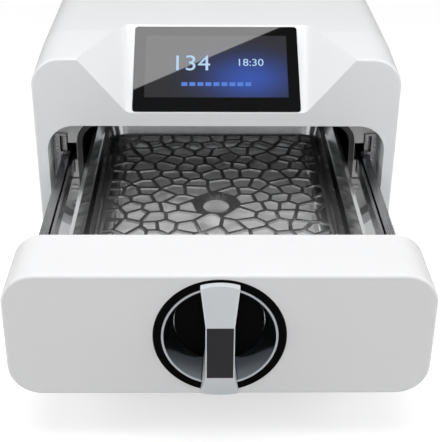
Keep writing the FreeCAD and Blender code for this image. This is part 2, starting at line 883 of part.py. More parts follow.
def knob_hub():
    """Black disc at the bottom of the bowl, with the shaft that passes through the carrier."""
    radius = bowl_floor_radius - turning_gap
    collar = shaft_radius + (ledge_radius - shaft_radius) * 0.4375
    shaft_end = -(cam_y + cam_thickness - front_y)
    return knob_turned([(0, -bowl_depth), (radius, -bowl_depth), (radius, -bowl_depth - 2.4),
                        (collar, -bowl_depth - 2.4), (collar, -carrier_back + turning_gap),
                        (shaft_radius, -carrier_back + turning_gap), (shaft_radius, shaft_end), (0, shaft_end)])


def grip_plan():
    """Outline of the grip from the front: narrow at the plate, wider to both ends."""
    short = grip_plate_width / 2 + 0.2
    long = grip_end_width / 2
    middle = grip_plate_length / 2
    end = grip_radius + 1
    points = [(-short, -middle), (-long, -end), (long, -end), (short, -middle),
              (short, middle), (long, end), (-long, end), (-short, middle)]
    corners = [Vector(x, front_y - grip_rise - 5, knob_centre + z) for x, z in points]
    face = Part.Face(Part.makePolygon(corners + [corners[0]]))
    return face.extrude(Vector(0, grip_rise + bowl_depth + 5, 0))


def grip_side():
    """Outline of the grip from the side: two slopes up to the plate, a keel down to the hub."""
    foot = bowl_floor_radius - 2.4
    inner = bowl_outer(0) - 2.4
    lift = ring_proud + turning_gap
    middle = grip_plate_length / 2
    points = [(grip_radius + 1, lift), (grip_radius + 1, grip_end_rise - 0.5), (middle, grip_rise),
              (-middle, grip_rise), (-grip_radius - 1, grip_end_rise - 0.5), (-grip_radius - 1, lift),
              (-inner, lift), (-foot, -bowl_depth), (foot, -bowl_depth), (inner, lift)]
    corners = [Vector(-30, front_y - height, knob_centre + z) for z, height in points]
    face = Part.Face(Part.makePolygon(corners + [corners[0]]))
    return face.extrude(Vector(60, 0, 0))


def knob_grip():
    reach = rod(grip_radius, (0, front_y - 40, knob_centre), (0, front_y + 30, knob_centre))
    grip = grip_plan().common(grip_side()).common(reach)
    rounded = []
    for edge in grip.Edges:
        box_of = edge.BoundBox
        if box_of.YMax < front_y - grip_end_rise + 0.6 and box_of.ZLength > 10 and box_of.XLength < 6:
            rounded.append(edge)
    grip = grip.makeFillet(1.0, rounded)
    return grip.cut(plate_block(0.05, 1))


def plate_block(clearance, proud):
    """Block of the dark plate let into the middle of the grip."""
    half = grip_plate_width / 2 - 0.5 + clearance
    length = grip_plate_length / 2 - 0.2 + clearance
    depth = grip_plate_thickness + clearance
    return box(-half, half, front_y - grip_rise - proud, front_y - grip_rise + depth,
               knob_centre - length, knob_centre + length)


def grip_plate():
    return plate_block(0, 0.25)


def spiral_slot(start):
    """Slot in the cam whose radius grows evenly over a quarter turn, from a start angle."""
    growth = lock_travel / lock_turn
    half = cam_pin_radius + slack
    steps = 8
    extra = math.radians(4)
    lean = math.atan2(growth, cam_pin_circle)
    inner = []
    outer = []
    for index in range(steps + 1):
        turn = -extra + (lock_turn + 2 * extra) * index / steps
        radius = cam_pin_circle + growth * turn
        angle = start + turn
        for side, points in ((-1, inner), (1, outer)):
            r = radius + side * half / math.cos(lean)
            points.append(Vector(r * math.cos(angle), cam_y - 1, knob_centre + r * math.sin(angle)))
    edges = []
    for points in (inner, outer):
        curve = Part.BSplineCurve()
        curve.interpolate(points)
        edges.append(curve.toShape())
    edges.append(Part.LineSegment(inner[0], outer[0]).toShape())
    edges.append(Part.LineSegment(inner[-1], outer[-1]).toShape())
    face = Part.Face(Part.Wire(Part.__sortEdges__(edges)))
    slot = face.extrude(Vector(0, cam_thickness + 2, 0))
    ends = []
    for turn in (0, lock_turn):
        r = cam_pin_circle + growth * turn
        x = r * math.cos(start + turn)
        z = knob_centre + r * math.sin(start + turn)
        ends.append(rod(half, (x, cam_y - 1, z), (x, cam_y + cam_thickness + 1, z)))
    return [slot] + ends


def lock_cam():
    """Disc on the shaft with two spiral slots, one for the pin of each lock arm."""
    disc = rod(cam_radius, (0, cam_y, knob_centre), (0, cam_y + cam_thickness, knob_centre))
    disc = disc.cut(rod(shaft_radius, (0, cam_y - 1, knob_centre), (0, cam_y + cam_thickness + 1, knob_centre)))
    for start in (0, math.pi):
        for cutter in spiral_slot(start):
            disc = disc.cut(cutter)
    return disc


def lock_arm():
    """Right arm: a pin in the cam, a bar across the drawer front and a shank with a toe at its end."""
    travel_room = roller_centre - roller_radius - slack - lock_travel
    shank_outer = travel_room
    shank_inner = shank_outer - arm_thickness
    toe_y = plate_front + roller_behind_front + roller_radius + slack + slack - drawer_drawn
    pin = rod(cam_pin_radius, (cam_pin_circle, cam_y, knob_centre), (cam_pin_circle, arm_y + 0.5, knob_centre))
    eye = box(cam_pin_circle - 5, cam_pin_circle + 8, arm_y, arm_y + arm_thickness, knob_centre - 5, arm_high)
    bar = box(cam_pin_circle - 5, shank_outer, arm_y, arm_y + arm_thickness, arm_low, arm_high)
    shank = box(shank_inner, shank_outer, arm_y, toe_y + toe_depth, arm_low, arm_high)
    toe = box(shank_inner, shank_outer + toe_reach, toe_y, toe_y + toe_depth, arm_low, arm_high)
    return fuse([pin, eye, bar, shank, toe])


# Tray, support and insert

tray_profile = [(0.0, 16.5), (13.7, 10.0), (27.0, 7.4), (29.2, 4.5), (42.6, 1.5)]


def tray_section(height, inset, shrink):
    """Rounded outline of the tray at a height above its bottom."""
    return flat_loop(tray_width / 2 - inset - shrink, tray_front + inset + shrink, tray_rear - inset - shrink,
                     tray_radius - inset * 0.3 - shrink * 0.5, tray_bottom + height)


def tray():
    rim_height = tray_top - tray_bottom - tray_wall
    levels = [(height * rim_height / tray_profile[-1][0], inset) for height, inset in tray_profile]
    outer = Part.makeLoft([tray_section(height, inset, 0) for height, inset in levels], True, True)
    inner_levels = [(levels[0][0] + tray_wall, levels[0][1])] + levels[1:]
    inner = Part.makeLoft([tray_section(height, inset, tray_wall) for height, inset in inner_levels], True, True)
    rim = flat_block(tray_width / 2, tray_front, tray_rear, tray_radius, tray_top - tray_wall, tray_top)
    mouth = Part.Face(tray_section(rim_height - 0.01, levels[-1][1], tray_wall)).extrude(Vector(0, 0, 5))
    return outer.fuse(rim).cut(inner).cut(mouth).removeSplitter()


def tray_support():
    """Frame of flat strip that runs back from the door and holds the tray from below."""
    z0 = tray_bottom - support_thickness
    y0 = door_rear + door_dish
    y1 = tray_rear - 8
    inner = support_half_track - support_width
    frame = box(-support_half_track, support_half_track, y0, y1, z0, tray_bottom)
    frame = frame.cut(box(-inner, inner, y0 + support_width, y1 - support_width, z0 - 1, tray_bottom + 1))
    tongue = box(-support_half_track, support_half_track, y0, y0 + support_thickness, z0, tray_bottom + 9)
    return frame.fuse(tongue).removeSplitter()


def insert_centre():
    return (tray_front + tray_rear) / 2


def cell_seeds():
    """Scattered cell centres, the same every time, on a loosened honeycomb grid."""
    scatter = random.Random(11)
    half_x = insert_width / 2
    half_y = tray_length / 2 - insert_end_gap
    columns = int(2 * half_x / cell_pitch)
    rows = int(2 * half_y / (cell_pitch * 0.9))
    seeds = []
    for row in range(rows):
        shift = 0.25 if row % 2 else -0.25
        for column in range(columns):
            x = -half_x + (column + 0.5 + shift) * 2 * half_x / columns
            y = -half_y + (row + 0.5) * 2 * half_y / rows
            x += scatter.uniform(-0.34, 0.34) * cell_pitch
            y += scatter.uniform(-0.34, 0.34) * cell_pitch
            if math.hypot(x, y) > dish_radius + cell_pitch * 0.25:
                seeds.append((x, y))
    return seeds


def clip(polygon, px, py, nx, ny):
    """Part of a convex polygon on the side of a line that (nx, ny) points away from."""
    kept = []
    for index, (bx, by) in enumerate(polygon):
        ax, ay = polygon[index - 1]
        a = (ax - px) * nx + (ay - py) * ny
        b = (bx - px) * nx + (by - py) * ny
        if (a < 0) != (b < 0):
            share = a / (a - b)
            kept.append((ax + (bx - ax) * share, ay + (by - ay) * share))
        if b < 0:
            kept.append((bx, by))
    return kept


def cell_outline(seed, seeds):
    """The cell round one seed, drawn in by half a strut from each neighbour and from the dish."""
    half_x = insert_width / 2 - strut_width
    half_y = tray_length / 2 - insert_end_gap - strut_width
    x, y = seed
    polygon = [(-half_x, -half_y), (half_x, -half_y), (half_x, half_y), (-half_x, half_y)]
    for ox, oy in seeds:
        gap = math.hypot(ox - x, oy - y)
        if 0 < gap < 4 * cell_pitch:
            nx = (ox - x) / gap
            ny = (oy - y) / gap
            reach = gap / 2 - strut_width / 2
            polygon = clip(polygon, x + nx * reach, y + ny * reach, nx, ny)
    from_dish = math.hypot(x, y)
    polygon = clip(polygon, x / from_dish * dish_radius, y / from_dish * dish_radius,
                   -x / from_dish, -y / from_dish)
    return polygon


def tidy_polygon(polygon):
    """Drops corners that lie too close together to be cut."""
    kept = []
    for point in polygon:
        if not kept or math.dist(point, kept[-1]) > 0.8:
            kept.append(point)
    if len(kept) > 1 and math.dist(kept[0], kept[-1]) < 0.8:
        kept.pop()
    return kept


def polygon_area(polygon):
    return abs(sum(ax * by - bx * ay for (ax, ay), (bx, by)
                   in zip(polygon, polygon[1:] + polygon[:1]))) / 2


def cell_wires(z):
    seeds = cell_seeds()
    wires = []
    for seed in seeds:
        polygon = tidy_polygon(cell_outline(seed, seeds))
        if len(polygon) > 2 and polygon_area(polygon) > 16:
            corners = [Vector(x, y, z) for x, y in polygon]
            wires.append(Part.makePolygon(corners + [corners[0]]))
    return wires


def tray_insert():
    """Perforated plate with a dished hole in its middle, standing on two folded strips."""
    z0 = insert_top - insert_thickness
    half_y = tray_length / 2 - insert_end_gap
    outline = flat_loop(insert_width / 2, -half_y, half_y, insert_radius, z0)
    middle = Part.Wire(Part.makeCircle(dish_radius - 1, Vector(0, 0, z0)))
    holes = cell_wires(z0)
    face = Part.makeFace([outline, middle] + holes, "Part::FaceMakerBullseye")
    plate = face.extrude(Vector(0, 0, insert_thickness))
    dish = turned([Vector(dish_radius - 1, 0, insert_top), Vector(dish_hole_radius, 0, insert_top - dish_drop),
                   Vector(dish_hole_radius, 0, z0 - dish_drop), Vector(dish_radius - 1, 0, z0)],
                  Vector(0, 0, 0), Vector(0, 0, 1))
    floor = tray_bottom + tray_wall
    leg_x = insert_width / 2 - leg_inset
    leg = box(leg_x - 1.2, leg_x, -half_y + 12, half_y - 12, floor, z0)
    shape = plate.fuse([dish]).fuse(both_sides(leg))
    shape.translate(Vector(0, insert_centre(), 0))
    return shape


# Inside the rear of the housing

def steam_generator():
    """Boiler drum that lies across the housing behind the chamber, with its band, spigot and feet."""
    left = piece_to_side - half_width
    right = -plain_gap - 10
    y = chamber_rear + generator_behind
    z = pan_top + generator_rise
    radius = generator_radius
    profile = [(left, 0), (left, radius - 8), (left + 5, radius - 2), (left + 11, radius),
               (right - 11, radius), (right - 5, radius - 2), (right, radius - 8), (right, 0)]
    body = turned([Vector(x, y + r, z) for x, r in profile], Vector(0, y, z), Vector(1, 0, 0))
    feet_of = [box(x, x + 8, y - 20, y + 20, pan_top, z - 15) for x in (left + 10, right - 18)]
    band = rod(radius + 2, (left + 38, y, z), (left + 56, y, z))
    spigot = rod(4, (left + 48, y - radius + 2, z + 15), (left + 48, y - radius - 8, z + 15))
    return fuse([body, band, spigot] + feet_of)


def pump_place():
    """Left and right side, front and middle depth, and underside of the vacuum pump's head."""
    right = half_width - piece_to_side + plain_gap
    front = chamber_rear + pump_behind
    return right - pump_width, right, front, front + pump_length / 2, pan_top + 7.5


def vacuum_pump_head():
    left, right, front, middle, low = pump_place()
    head = box(left, right, front, front + pump_length, low, low + pump_height)
    ribs = [box(right, right + plain_gap, y, y + 6, low + 4, low + pump_height - 4)
            for y in (front + 4, front + 16, front + 28, front + 40)]
    feet_of = [box(left + 2, right - 2, y, y + 12, pan_top, low) for y in (front + 2, front + pump_length - 14)]
    return fuse([head] + ribs + feet_of)


def vacuum_pump_motor():
    left, right, front, y, low = pump_place()
    z = low + pump_height / 2 - 1
    body = rod(motor_radius, (left - motor_length, y, z), (left, y, z))
    cap = rod(motor_radius / 2, (left - motor_length - 6, y, z), (left - motor_length, y, z))
    return body.fuse(cap).removeSplitter()


def water_pump():
    left = water_pump_left()
    y = chamber_rear + valve_front + 31
    top = pan_top + 29.5
    body = box(left, left + 26, y, y + 32, pan_top, top)
    coil = rod(11, (left + 13, y + 16, top), (left + 13, y + 16, top + 18))
    return fuse([body, coil])


def water_pump_left():
    """The pump stands beside the fan's condenser."""
    return fan_x - fan_size / 2 - 38


def valve_manifold():
    """Brass block along the boiler with three solenoid valves on it."""
    left = piece_to_side + plain_gap - half_width
    right = water_pump_left() - 8
    front = chamber_rear + valve_front + 26
    middle = front + 12.5
    top = pan_top + 23.5
    block = box(left, right, front, front + 25, pan_top, top)
    solids = [block.cut(rod(4, (left - 5, middle, pan_top + 11.5), (right + 5, middle, pan_top + 11.5)))]
    spacing = (right - left - 28) / 2
    half = spacing * 0.4
    for index in range(3):
        x = left + 14 + spacing * index
        coil = box(x - half, x + half, front + 1, front + 24, top, top + 24)
        solids.append(coil.fuse(rod(4, (x, middle, top + 24), (x, middle, top + 30))))
    return Part.makeCompound(solids)


def condenser():
    """Finned block in front of the fan, on two legs."""
    half = fan_size / 2
    y1 = rear_inside - fan_depth - slack
    y0 = y1 - 22
    plates = []
    for index in range(11):
        z = fan_z - half + index * (fan_size - 1.2) / 10
        plates.append(box(fan_x - half, fan_x + half, y0, y1, z, z + 1.2))
    ends = [box(x, x + 4, y0, y1, pan_top, fan_z + half) for x in (fan_x - half, fan_x + half - 4)]
    return fuse(ends + plates)


def fan_frame():
    """Square frame with a round duct, four spokes and the fixed pin that the rotor turns on."""
    half = fan_size / 2
    y0 = rear_inside - fan_depth
    frame = box(fan_x - half, fan_x + half, y0, rear_inside, fan_z - half, fan_z + half)
    frame = frame.cut(rod(half - 2.5, (fan_x, y0 - 1, fan_z), (fan_x, rear_inside + 1, fan_z)))
    spokes = []
    for angle in (45, 135, 225, 315):
        spoke = box(fan_hub_radius - 4, half + 4, rear_inside - 2.5, rear_inside, -1.5, 1.5)
        spoke.rotate(Vector(0, 0, 0), Vector(0, 1, 0), angle)
        spoke.translate(Vector(fan_x, 0, fan_z))
        spokes.append(spoke)
    plate = rod(fan_hub_radius, (fan_x, rear_inside - 2.5, fan_z), (fan_x, rear_inside, fan_z))
    pin = rod(fan_pin_radius, (fan_x, y0 + 6, fan_z), (fan_x, rear_inside - 1, fan_z))
    return fuse([frame, plate, pin] + spokes)


def fan_rotor():
    """Hub with pitched blades, running on the frame's pin."""
    y0 = rear_inside - fan_depth + 3
    y1 = rear_inside - 2.5 - turning_gap
    hub = rod(fan_hub_radius, (fan_x, y0, fan_z), (fan_x, y1, fan_z))
    blades = []
    for index in range(fan_blades):
        blade = Part.makeBox(1.6, 20, fan_blade_radius - fan_hub_radius + 2, Vector(-0.8, -10, fan_hub_radius - 2))
        blade.rotate(Vector(0, 0, 0), Vector(0, 0, 1), 40)
        blade = blade.common(rod(fan_blade_radius, (0, -30, 0), (0, 30, 0)))
        blade.rotate(Vector(0, 0, 0), Vector(0, 1, 0), 360 * index / fan_blades)
        blade.translate(Vector(fan_x, (y0 + y1) / 2, fan_z))
        blades.append(blade)
    rotor = fuse([hub] + blades)
    bore = rod(fan_pin_radius + running_clearance, (fan_x, y0 + 3, fan_z), (fan_x, y1 + 1, fan_z))
    return rotor.cut(bore)


def power_supply():
    left = piece_to_side + plain_gap - half_width
    return box(left, -24, shelf_front + 50, shelf_front + shelf_length - 30, shelf_top, shelf_top + supply_height)


def control_board():
    """Main board on four posts, with its largest parts."""
    right = half_width - piece_to_side - plain_gap
    front = shelf_front + 40
    rear = shelf_front + shelf_length - 20
    low = shelf_top + board_gap
    top = low + board_thickness
    middle = (front + rear) / 2
    board = box(-8, right, front, rear, low, top)
    posts = [rod(3, (x, y, shelf_top), (x, y, low + 0.5)) for x in (-3, right - 5) for y in (front + 5, rear - 5)]
    parts = [box(10, 34, front + 20, front + 44, top, top + 3), box(50, 90, front + 20, front + 40, top, top + 12),
             box(0, right - 8, rear - 20, rear - 10, top, top + 10),
             box(40, 62, middle - 5, middle + 17, top, top + 16)]
    parts += [rod(6, (15 + 16 * index, middle + 40, top), (15 + 16 * index, middle + 40, top + 18))
              for index in range(3)]
    return fuse([board] + posts + parts)


def chamber_fittings():
    """Pressure sensor and safety valve on the chamber's rear wall."""
    y = chamber_rear + chamber_wall
    z = chamber_high - 16.6
    fittings = []
    for x, radius, lead, length in ((chamber_half - 36.5, 9, 8, 18), (chamber_half - 68.5, 8, 6, 16)):
        stem = rod(5, (x, y, z), (x, y + lead, z))
        body = rod(radius, (x, y + lead, z), (x, y + lead + length, z))
        end = rod(5, (x, y + lead + length, z), (x, y + lead + length + 6, z))
        fittings.append(fuse([stem, body, end]))
    return Part.makeCompound(fittings)


def door_switch():
    left = chamber_half - 40.5
    y = plate_back
    z = opening_top + 2
    body = box(left, left + 20, y, y + 10, z - 4, z + 4)
    plunger = rod(1.5, (left + 10, y + 10, z), (left + 10, y + 12, z))
    return body.fuse(plunger)


# Rear panel and its fittings

def rear_panel():
    half = half_width - cover_wall - slack
    low = inner_floor + slack
    high = housing_height - cover_wall - slack
    radii = [bottom_radius - cover_wall] * 2 + [shoulder_radius - cover_wall] * 2
    panel = Part.Face(upright_loop(half, low, high, radii, rear_inside)).extrude(Vector(0, sheet, 0))
    duct = rod(fan_blade_radius, (fan_x, rear_inside - 1, fan_z), (fan_x, rear_outside + 1, fan_z))
    for index in range(9):
        z = fan_z + (index - 4) * fan_size / 10
        slot = box(fan_x - fan_size / 2, fan_x + fan_size / 2, rear_inside - 1, rear_outside + 1, z - 2.2, z + 2.2)
        panel = panel.cut(slot.common(duct))
    panel = panel.cut(fitting_block(inlet_x, 27.2, 20.2))
    panel = panel.cut(fitting_block(rocker_x, rocker_width + 3.2, rocker_height + 3.2))
    for x in spigot_places():
        panel = panel.cut(rod(spigot_radius + 1, (x, rear_inside - 1, spigot_z), (x, rear_outside + 1, spigot_z)))
    hole = rod(filter_radius + slack, (filter_x, rear_inside - 1, filter_z), (filter_x, rear_outside + 1, filter_z))
    return panel.cut(hole)


def fitting_block(x, width, height):
    return box(x - width / 2, x + width / 2, rear_inside - 5, rear_outside + 5, socket_z - height / 2,
               socket_z + height / 2)


def spigot_places():
    right = -plain_gap
    return right - spigot_spacing, right


def mains_inlet():
    """Flanged socket with three blades in its well."""
    flange = fitting_block(inlet_x, 32, 25).common(box(-half_width, 0, rear_outside, rear_outside + 2, 0, 100))
    body = fitting_block(inlet_x, 27, 20).common(box(-half_width, 0, rear_inside - 5, rear_outside + 1, 0, 100))
    back = box(inlet_x - 13.5, inlet_x + 13.5, rear_inside - 22, rear_inside - 4, socket_z - 10, socket_z + 10)
    well = fitting_block(inlet_x, 23, 16).common(box(-half_width, 0, rear_inside - 12, rear_outside + 5, 0, 100))
    well = well.fuse(box(inlet_x - 11.5, inlet_x + 11.5, rear_inside - 16, rear_inside - 4, socket_z - 8, socket_z + 8))
    socket = fuse([flange, body, back]).cut(well)
    blades = [box(inlet_x + dx - 1, inlet_x + dx + 1, rear_inside - 17, rear_inside - 3, socket_z + dz - 2,
                  socket_z + dz + 2) for dx, dz in ((-7, -1), (0, 3), (7, -1))]
    return fuse([socket] + blades)


def rocker_frame():
    """Flanged box let into the panel, with a bore on each side for the rocker's trunnions."""
    width = rocker_width + 3
    height = rocker_height + 3
    flange = fitting_block(rocker_x, width + 5, height + 5)
    flange = flange.common(box(-half_width, 0, rear_outside, rear_outside + 1.6, 0, housing_height))
    body = box(rocker_x - width / 2, rocker_x + width / 2, rear_inside - 14, rear_outside + 1,
               socket_z - height / 2, socket_z + height / 2)
    well = box(rocker_x - rocker_width / 2 - slack, rocker_x + rocker_width / 2 + slack, rear_inside - 11,
               rear_outside + 5, socket_z - rocker_height / 2 - slack, socket_z + rocker_height / 2 + slack)
    return fuse([flange, body]).cut(well).cut(trunnion(rocker_pin_radius + running_clearance, width / 2 + 1))


def trunnion(radius, reach):
    """Bar on the rocker's axis that reaches the same way to both sides."""
    return rod(radius, (rocker_x - reach, rocker_axis_y, socket_z), (rocker_x + reach, rocker_axis_y, socket_z))


def power_rocker():
    """Rocker with two slanting faces and a trunnion on each side, at rest tipped one way."""
    y = rear_outside - 2
    half = rocker_height / 2
    corners = [(y - 4, -half * 0.6), (y + 1.8, -half * 0.92), (y + 1.2, 0), (y + 1.8, half * 0.92),
               (y - 4, half * 0.6)]
    points = [Vector(rocker_x - rocker_width / 2, py, socket_z + pz) for py, pz in corners]
    face = Part.Face(Part.makePolygon(points + [points[0]]))
    rocker = face.extrude(Vector(rocker_width, 0, 0)).fuse(trunnion(rocker_pin_radius, rocker_width / 2 + 1.3))
    rocker.rotate(Vector(rocker_x, rocker_axis_y, socket_z), Vector(1, 0, 0), rocker_tilt)
    return rocker


def hose_connectors():
    """Two spigots with a collar and a nut inside the panel, for the water hoses."""
    shapes = []
    for x in spigot_places():
        tail = rod(spigot_radius, (x, rear_inside - 8, spigot_z), (x, rear_outside + spigot_length + 2, spigot_z))
        collar = rod(spigot_radius + 4, (x, rear_outside, spigot_z), (x, rear_outside + 2, spigot_z))
        nut = hexagon(spigot_radius + 4, x, spigot_z, rear_inside - 4, rear_inside)
        bore = rod(spigot_radius - 1.5, (x, rear_inside - 9, spigot_z),
                   (x, rear_outside + spigot_length + 3, spigot_z))
        shapes.append(fuse([tail, collar, nut]).cut(bore))
    return Part.makeCompound(shapes)


def air_filter():
    """Round filter cartridge through the panel, with notches that let air in round its cap."""
    x = filter_x
    z = filter_z
    body = rod(filter_radius, (x, rear_inside - 40, z), (x, rear_outside + 0.5, z))
    flange = rod(filter_radius + 3, (x, rear_outside, z), (x, rear_outside + 3, z))
    cap = rod(filter_radius - 3, (x, rear_outside + 3, z), (x, rear_outside + 8, z))
    shape = fuse([body, flange, cap])
    for index in range(8):
        notch = box(filter_radius - 4.5, filter_radius, rear_outside + 3, rear_outside + 9, -1.6, 1.6)
        notch.rotate(Vector(0, 0, 0), Vector(0, 1, 0), 45 * index)
        notch.translate(Vector(x, 0, z))
        shape = shape.cut(notch)
    return shape


def pieces():
    """Every node of the part by name."""
    made = {
        "outer_cover": outer_cover(), "opening_frame": opening_frame(), "screen_glass": screen_glass(),
        "display_module": display_module(), "display_board": display_board(),
        "front_plate_upper": front_plate_upper(), "front_plate_lower": front_plate_lower(),
        "plate_screws": plate_screws(), "base_pan": base_pan(), "feet": feet(),
        "electronics_shelf": electronics_shelf(), "chamber_vessel": chamber_vessel(),
        "chamber_heaters": chamber_heaters(), "chamber_insulation": chamber_insulation(),
        "drain_filter": drain_filter(), "chamber_saddles": chamber_saddles(),
        "drawer_front": drawer_front(), "door_carrier": door_carrier(), "carrier_screws": carrier_screws(),
        "door_posts": door_posts(), "chamber_door": chamber_door(), "door_gasket": door_gasket(),
        "knob_ring": knob_ring(), "knob_bowl": knob_bowl(), "knob_hub": knob_hub(), "knob_grip": knob_grip(),
        "grip_plate": grip_plate(), "lock_cam": lock_cam(),
        "tray": tray(), "tray_support": tray_support(), "tray_insert": tray_insert(),
        "steam_generator": steam_generator(), "vacuum_pump_head": vacuum_pump_head(),
        "vacuum_pump_motor": vacuum_pump_motor(), "water_pump": water_pump(),
        "valve_manifold": valve_manifold(), "condenser": condenser(),
        "fan_frame": fan_frame(), "fan_rotor": fan_rotor(), "power_supply": power_supply(),
        "control_board": control_board(), "chamber_fittings": chamber_fittings(),
        "door_switch": door_switch(), "rear_panel": rear_panel(), "mains_inlet": mains_inlet(),
        "rocker_frame": rocker_frame(), "power_rocker": power_rocker(), "hose_connectors": hose_connectors(),
        "air_filter": air_filter(),
    }
    handed = {"middle_member": middle_member(), "strike_roller": strike_roller(), "lock_arm": lock_arm()}
    for name, shape in handed.items():
        made[name + "_right"] = shape
        made[name + "_left"] = mirrored(shape)
    paired = {"fixed_rails": fixed_rail(), "drawer_members": drawer_member(), "keepers": keeper(),
              "side_frames": side_frame()}
    for name, shape in paired.items():
        made[name] = Part.makeCompound(both_sides(shape))
    return made


def main():
    os.makedirs("parts", exist_ok=True)
    foremost = front_y - grip_rise - 0.25
    rearmost = rear_outside + spigot_length + 2
    middle = (foremost + rearmost) / 2
    for name, shape in pieces().items():
        shape.translate(Vector(0, -middle, 0))
        shape.exportStep("parts/" + name + ".step")
        print(name, len(shape.Solids), round(shape.Volume), shape.isValid())
    print("origin behind the front plane by", round(middle, 3))


main()
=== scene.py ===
import bpy
import bmesh
import math
from mathutils import Euler, Matrix, Vector


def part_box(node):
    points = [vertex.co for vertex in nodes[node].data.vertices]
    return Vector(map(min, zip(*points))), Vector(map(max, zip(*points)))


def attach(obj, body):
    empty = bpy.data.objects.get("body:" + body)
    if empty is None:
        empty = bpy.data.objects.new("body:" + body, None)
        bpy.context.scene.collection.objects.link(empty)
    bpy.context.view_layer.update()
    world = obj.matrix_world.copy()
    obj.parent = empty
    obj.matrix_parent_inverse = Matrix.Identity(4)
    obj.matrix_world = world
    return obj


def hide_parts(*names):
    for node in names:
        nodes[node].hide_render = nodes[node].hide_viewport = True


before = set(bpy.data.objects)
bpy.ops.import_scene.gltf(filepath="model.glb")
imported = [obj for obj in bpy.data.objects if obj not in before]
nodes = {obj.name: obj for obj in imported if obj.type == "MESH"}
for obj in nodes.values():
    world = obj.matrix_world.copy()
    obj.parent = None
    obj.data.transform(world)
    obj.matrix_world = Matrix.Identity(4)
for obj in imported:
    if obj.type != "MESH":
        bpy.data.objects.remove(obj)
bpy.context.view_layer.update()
mm = 0.001


# Shared shader groups

def newGroup(name, inputs, outputs):
    group = bpy.data.node_groups.new(name, "ShaderNodeTree")
    for label, kind, value in inputs:
        socket = group.interface.new_socket(name=label, in_out="INPUT", socket_type=kind)
        socket.default_value = value
    for label, kind in outputs:
        group.interface.new_socket(name=label, in_out="OUTPUT", socket_type=kind)
    return group, group.nodes.new("NodeGroupInput"), group.nodes.new("NodeGroupOutput")


def feed(tree, value, socket):
    if isinstance(value, (int, float)):
        socket.default_value = value
    elif isinstance(value, (tuple, list)):
        socket.default_value = (*value[:3], 1.0) if len(socket.default_value) == 4 else value
    elif value is not None:
        tree.links.new(value, socket)


def mathNode(tree, operation, a, b=None, clamp=False):
    node = tree.nodes.new("ShaderNodeMath")
    node.operation = operation
    node.use_clamp = clamp
    feed(tree, a, node.inputs[0])
    feed(tree, b, node.inputs[1])
    return node.outputs[0]


def noiseNode(tree, vector, scale, detail, roughness):
    node = tree.nodes.new("ShaderNodeTexNoise")
    tree.links.new(vector, node.inputs["Vector"])
    node.inputs["Detail"].default_value = detail
    node.inputs["Roughness"].default_value = roughness
    feed(tree, scale, node.inputs["Scale"])
    return node.outputs["Fac"]


def mixColour(tree, factor, first, second):
    node = tree.nodes.new("ShaderNodeMix")
    node.data_type = "RGBA"
    feed(tree, factor, node.inputs[0])
    feed(tree, first, node.inputs[6])
    feed(tree, second, node.inputs[7])
    return node.outputs[2]


def ramp(tree, value, low, high):
    node = tree.nodes.new("ShaderNodeMapRange")
    tree.links.new(value, node.inputs["Value"])
    node.inputs["From Min"].default_value = low
    node.inputs["From Max"].default_value = high
    return node.outputs[0]


def scaled(tree, colour, factor):
    node = tree.nodes.new("ShaderNodeVectorMath")
    node.operation = "SCALE"
    tree.links.new(colour, node.inputs[0])
    tree.links.new(factor, node.inputs["Scale"])
    return node.outputs[0]


def spread(tree, value, amount):
    # a noise value moved to swing evenly round zero, times an amount
    return mathNode(tree, "MULTIPLY", mathNode(tree, "SUBTRACT", value, 0.5), amount)


# noise scales per metre, how far the specks swing the roughness, and how much of that the colour takes
skinGrain = {"cloudScale": 14.0, "speckSwing": 0.05, "speckTone": 0.3}
steelGrain = {"patchScale": 28.0}
glossGrain = {"smearScale": 60.0, "waveScale": 35.0}


def makeSkinGroup():
    # moulded or painted skin: fine grain, and faint cloudiness over larger stretches
    group, into, out = newGroup(
        "mouldedSkin",
        [("Vector", "NodeSocketVector", (0, 0, 0)), ("Colour", "NodeSocketColor", (0.8, 0.8, 0.8, 1)),
         ("Roughness", "NodeSocketFloat", 0.3), ("Grain Scale", "NodeSocketFloat", 1800.0),
         ("Unevenness", "NodeSocketFloat", 0.04)],
        [("Colour", "NodeSocketColor"), ("Roughness", "NodeSocketFloat"), ("Height", "NodeSocketFloat")])
    vector = into.outputs["Vector"]
    grain = noiseNode(group, vector, into.outputs["Grain Scale"], 2.0, 0.6)
    cloud = noiseNode(group, vector, skinGrain["cloudScale"], 3.0, 0.55)
    lift = spread(group, cloud, into.outputs["Unevenness"])
    speck = spread(group, grain, skinGrain["speckSwing"])
    tone = mathNode(group, "MULTIPLY", speck, skinGrain["speckTone"])
    value = mathNode(group, "ADD", tone, mathNode(group, "ADD", lift, 1.0))
    group.links.new(scaled(group, into.outputs["Colour"], value), out.inputs["Colour"])
    rough = mathNode(group, "ADD", into.outputs["Roughness"], mathNode(group, "ADD", lift, speck), True)
    group.links.new(rough, out.inputs["Roughness"])
    group.links.new(grain, out.inputs["Height"])
    return group


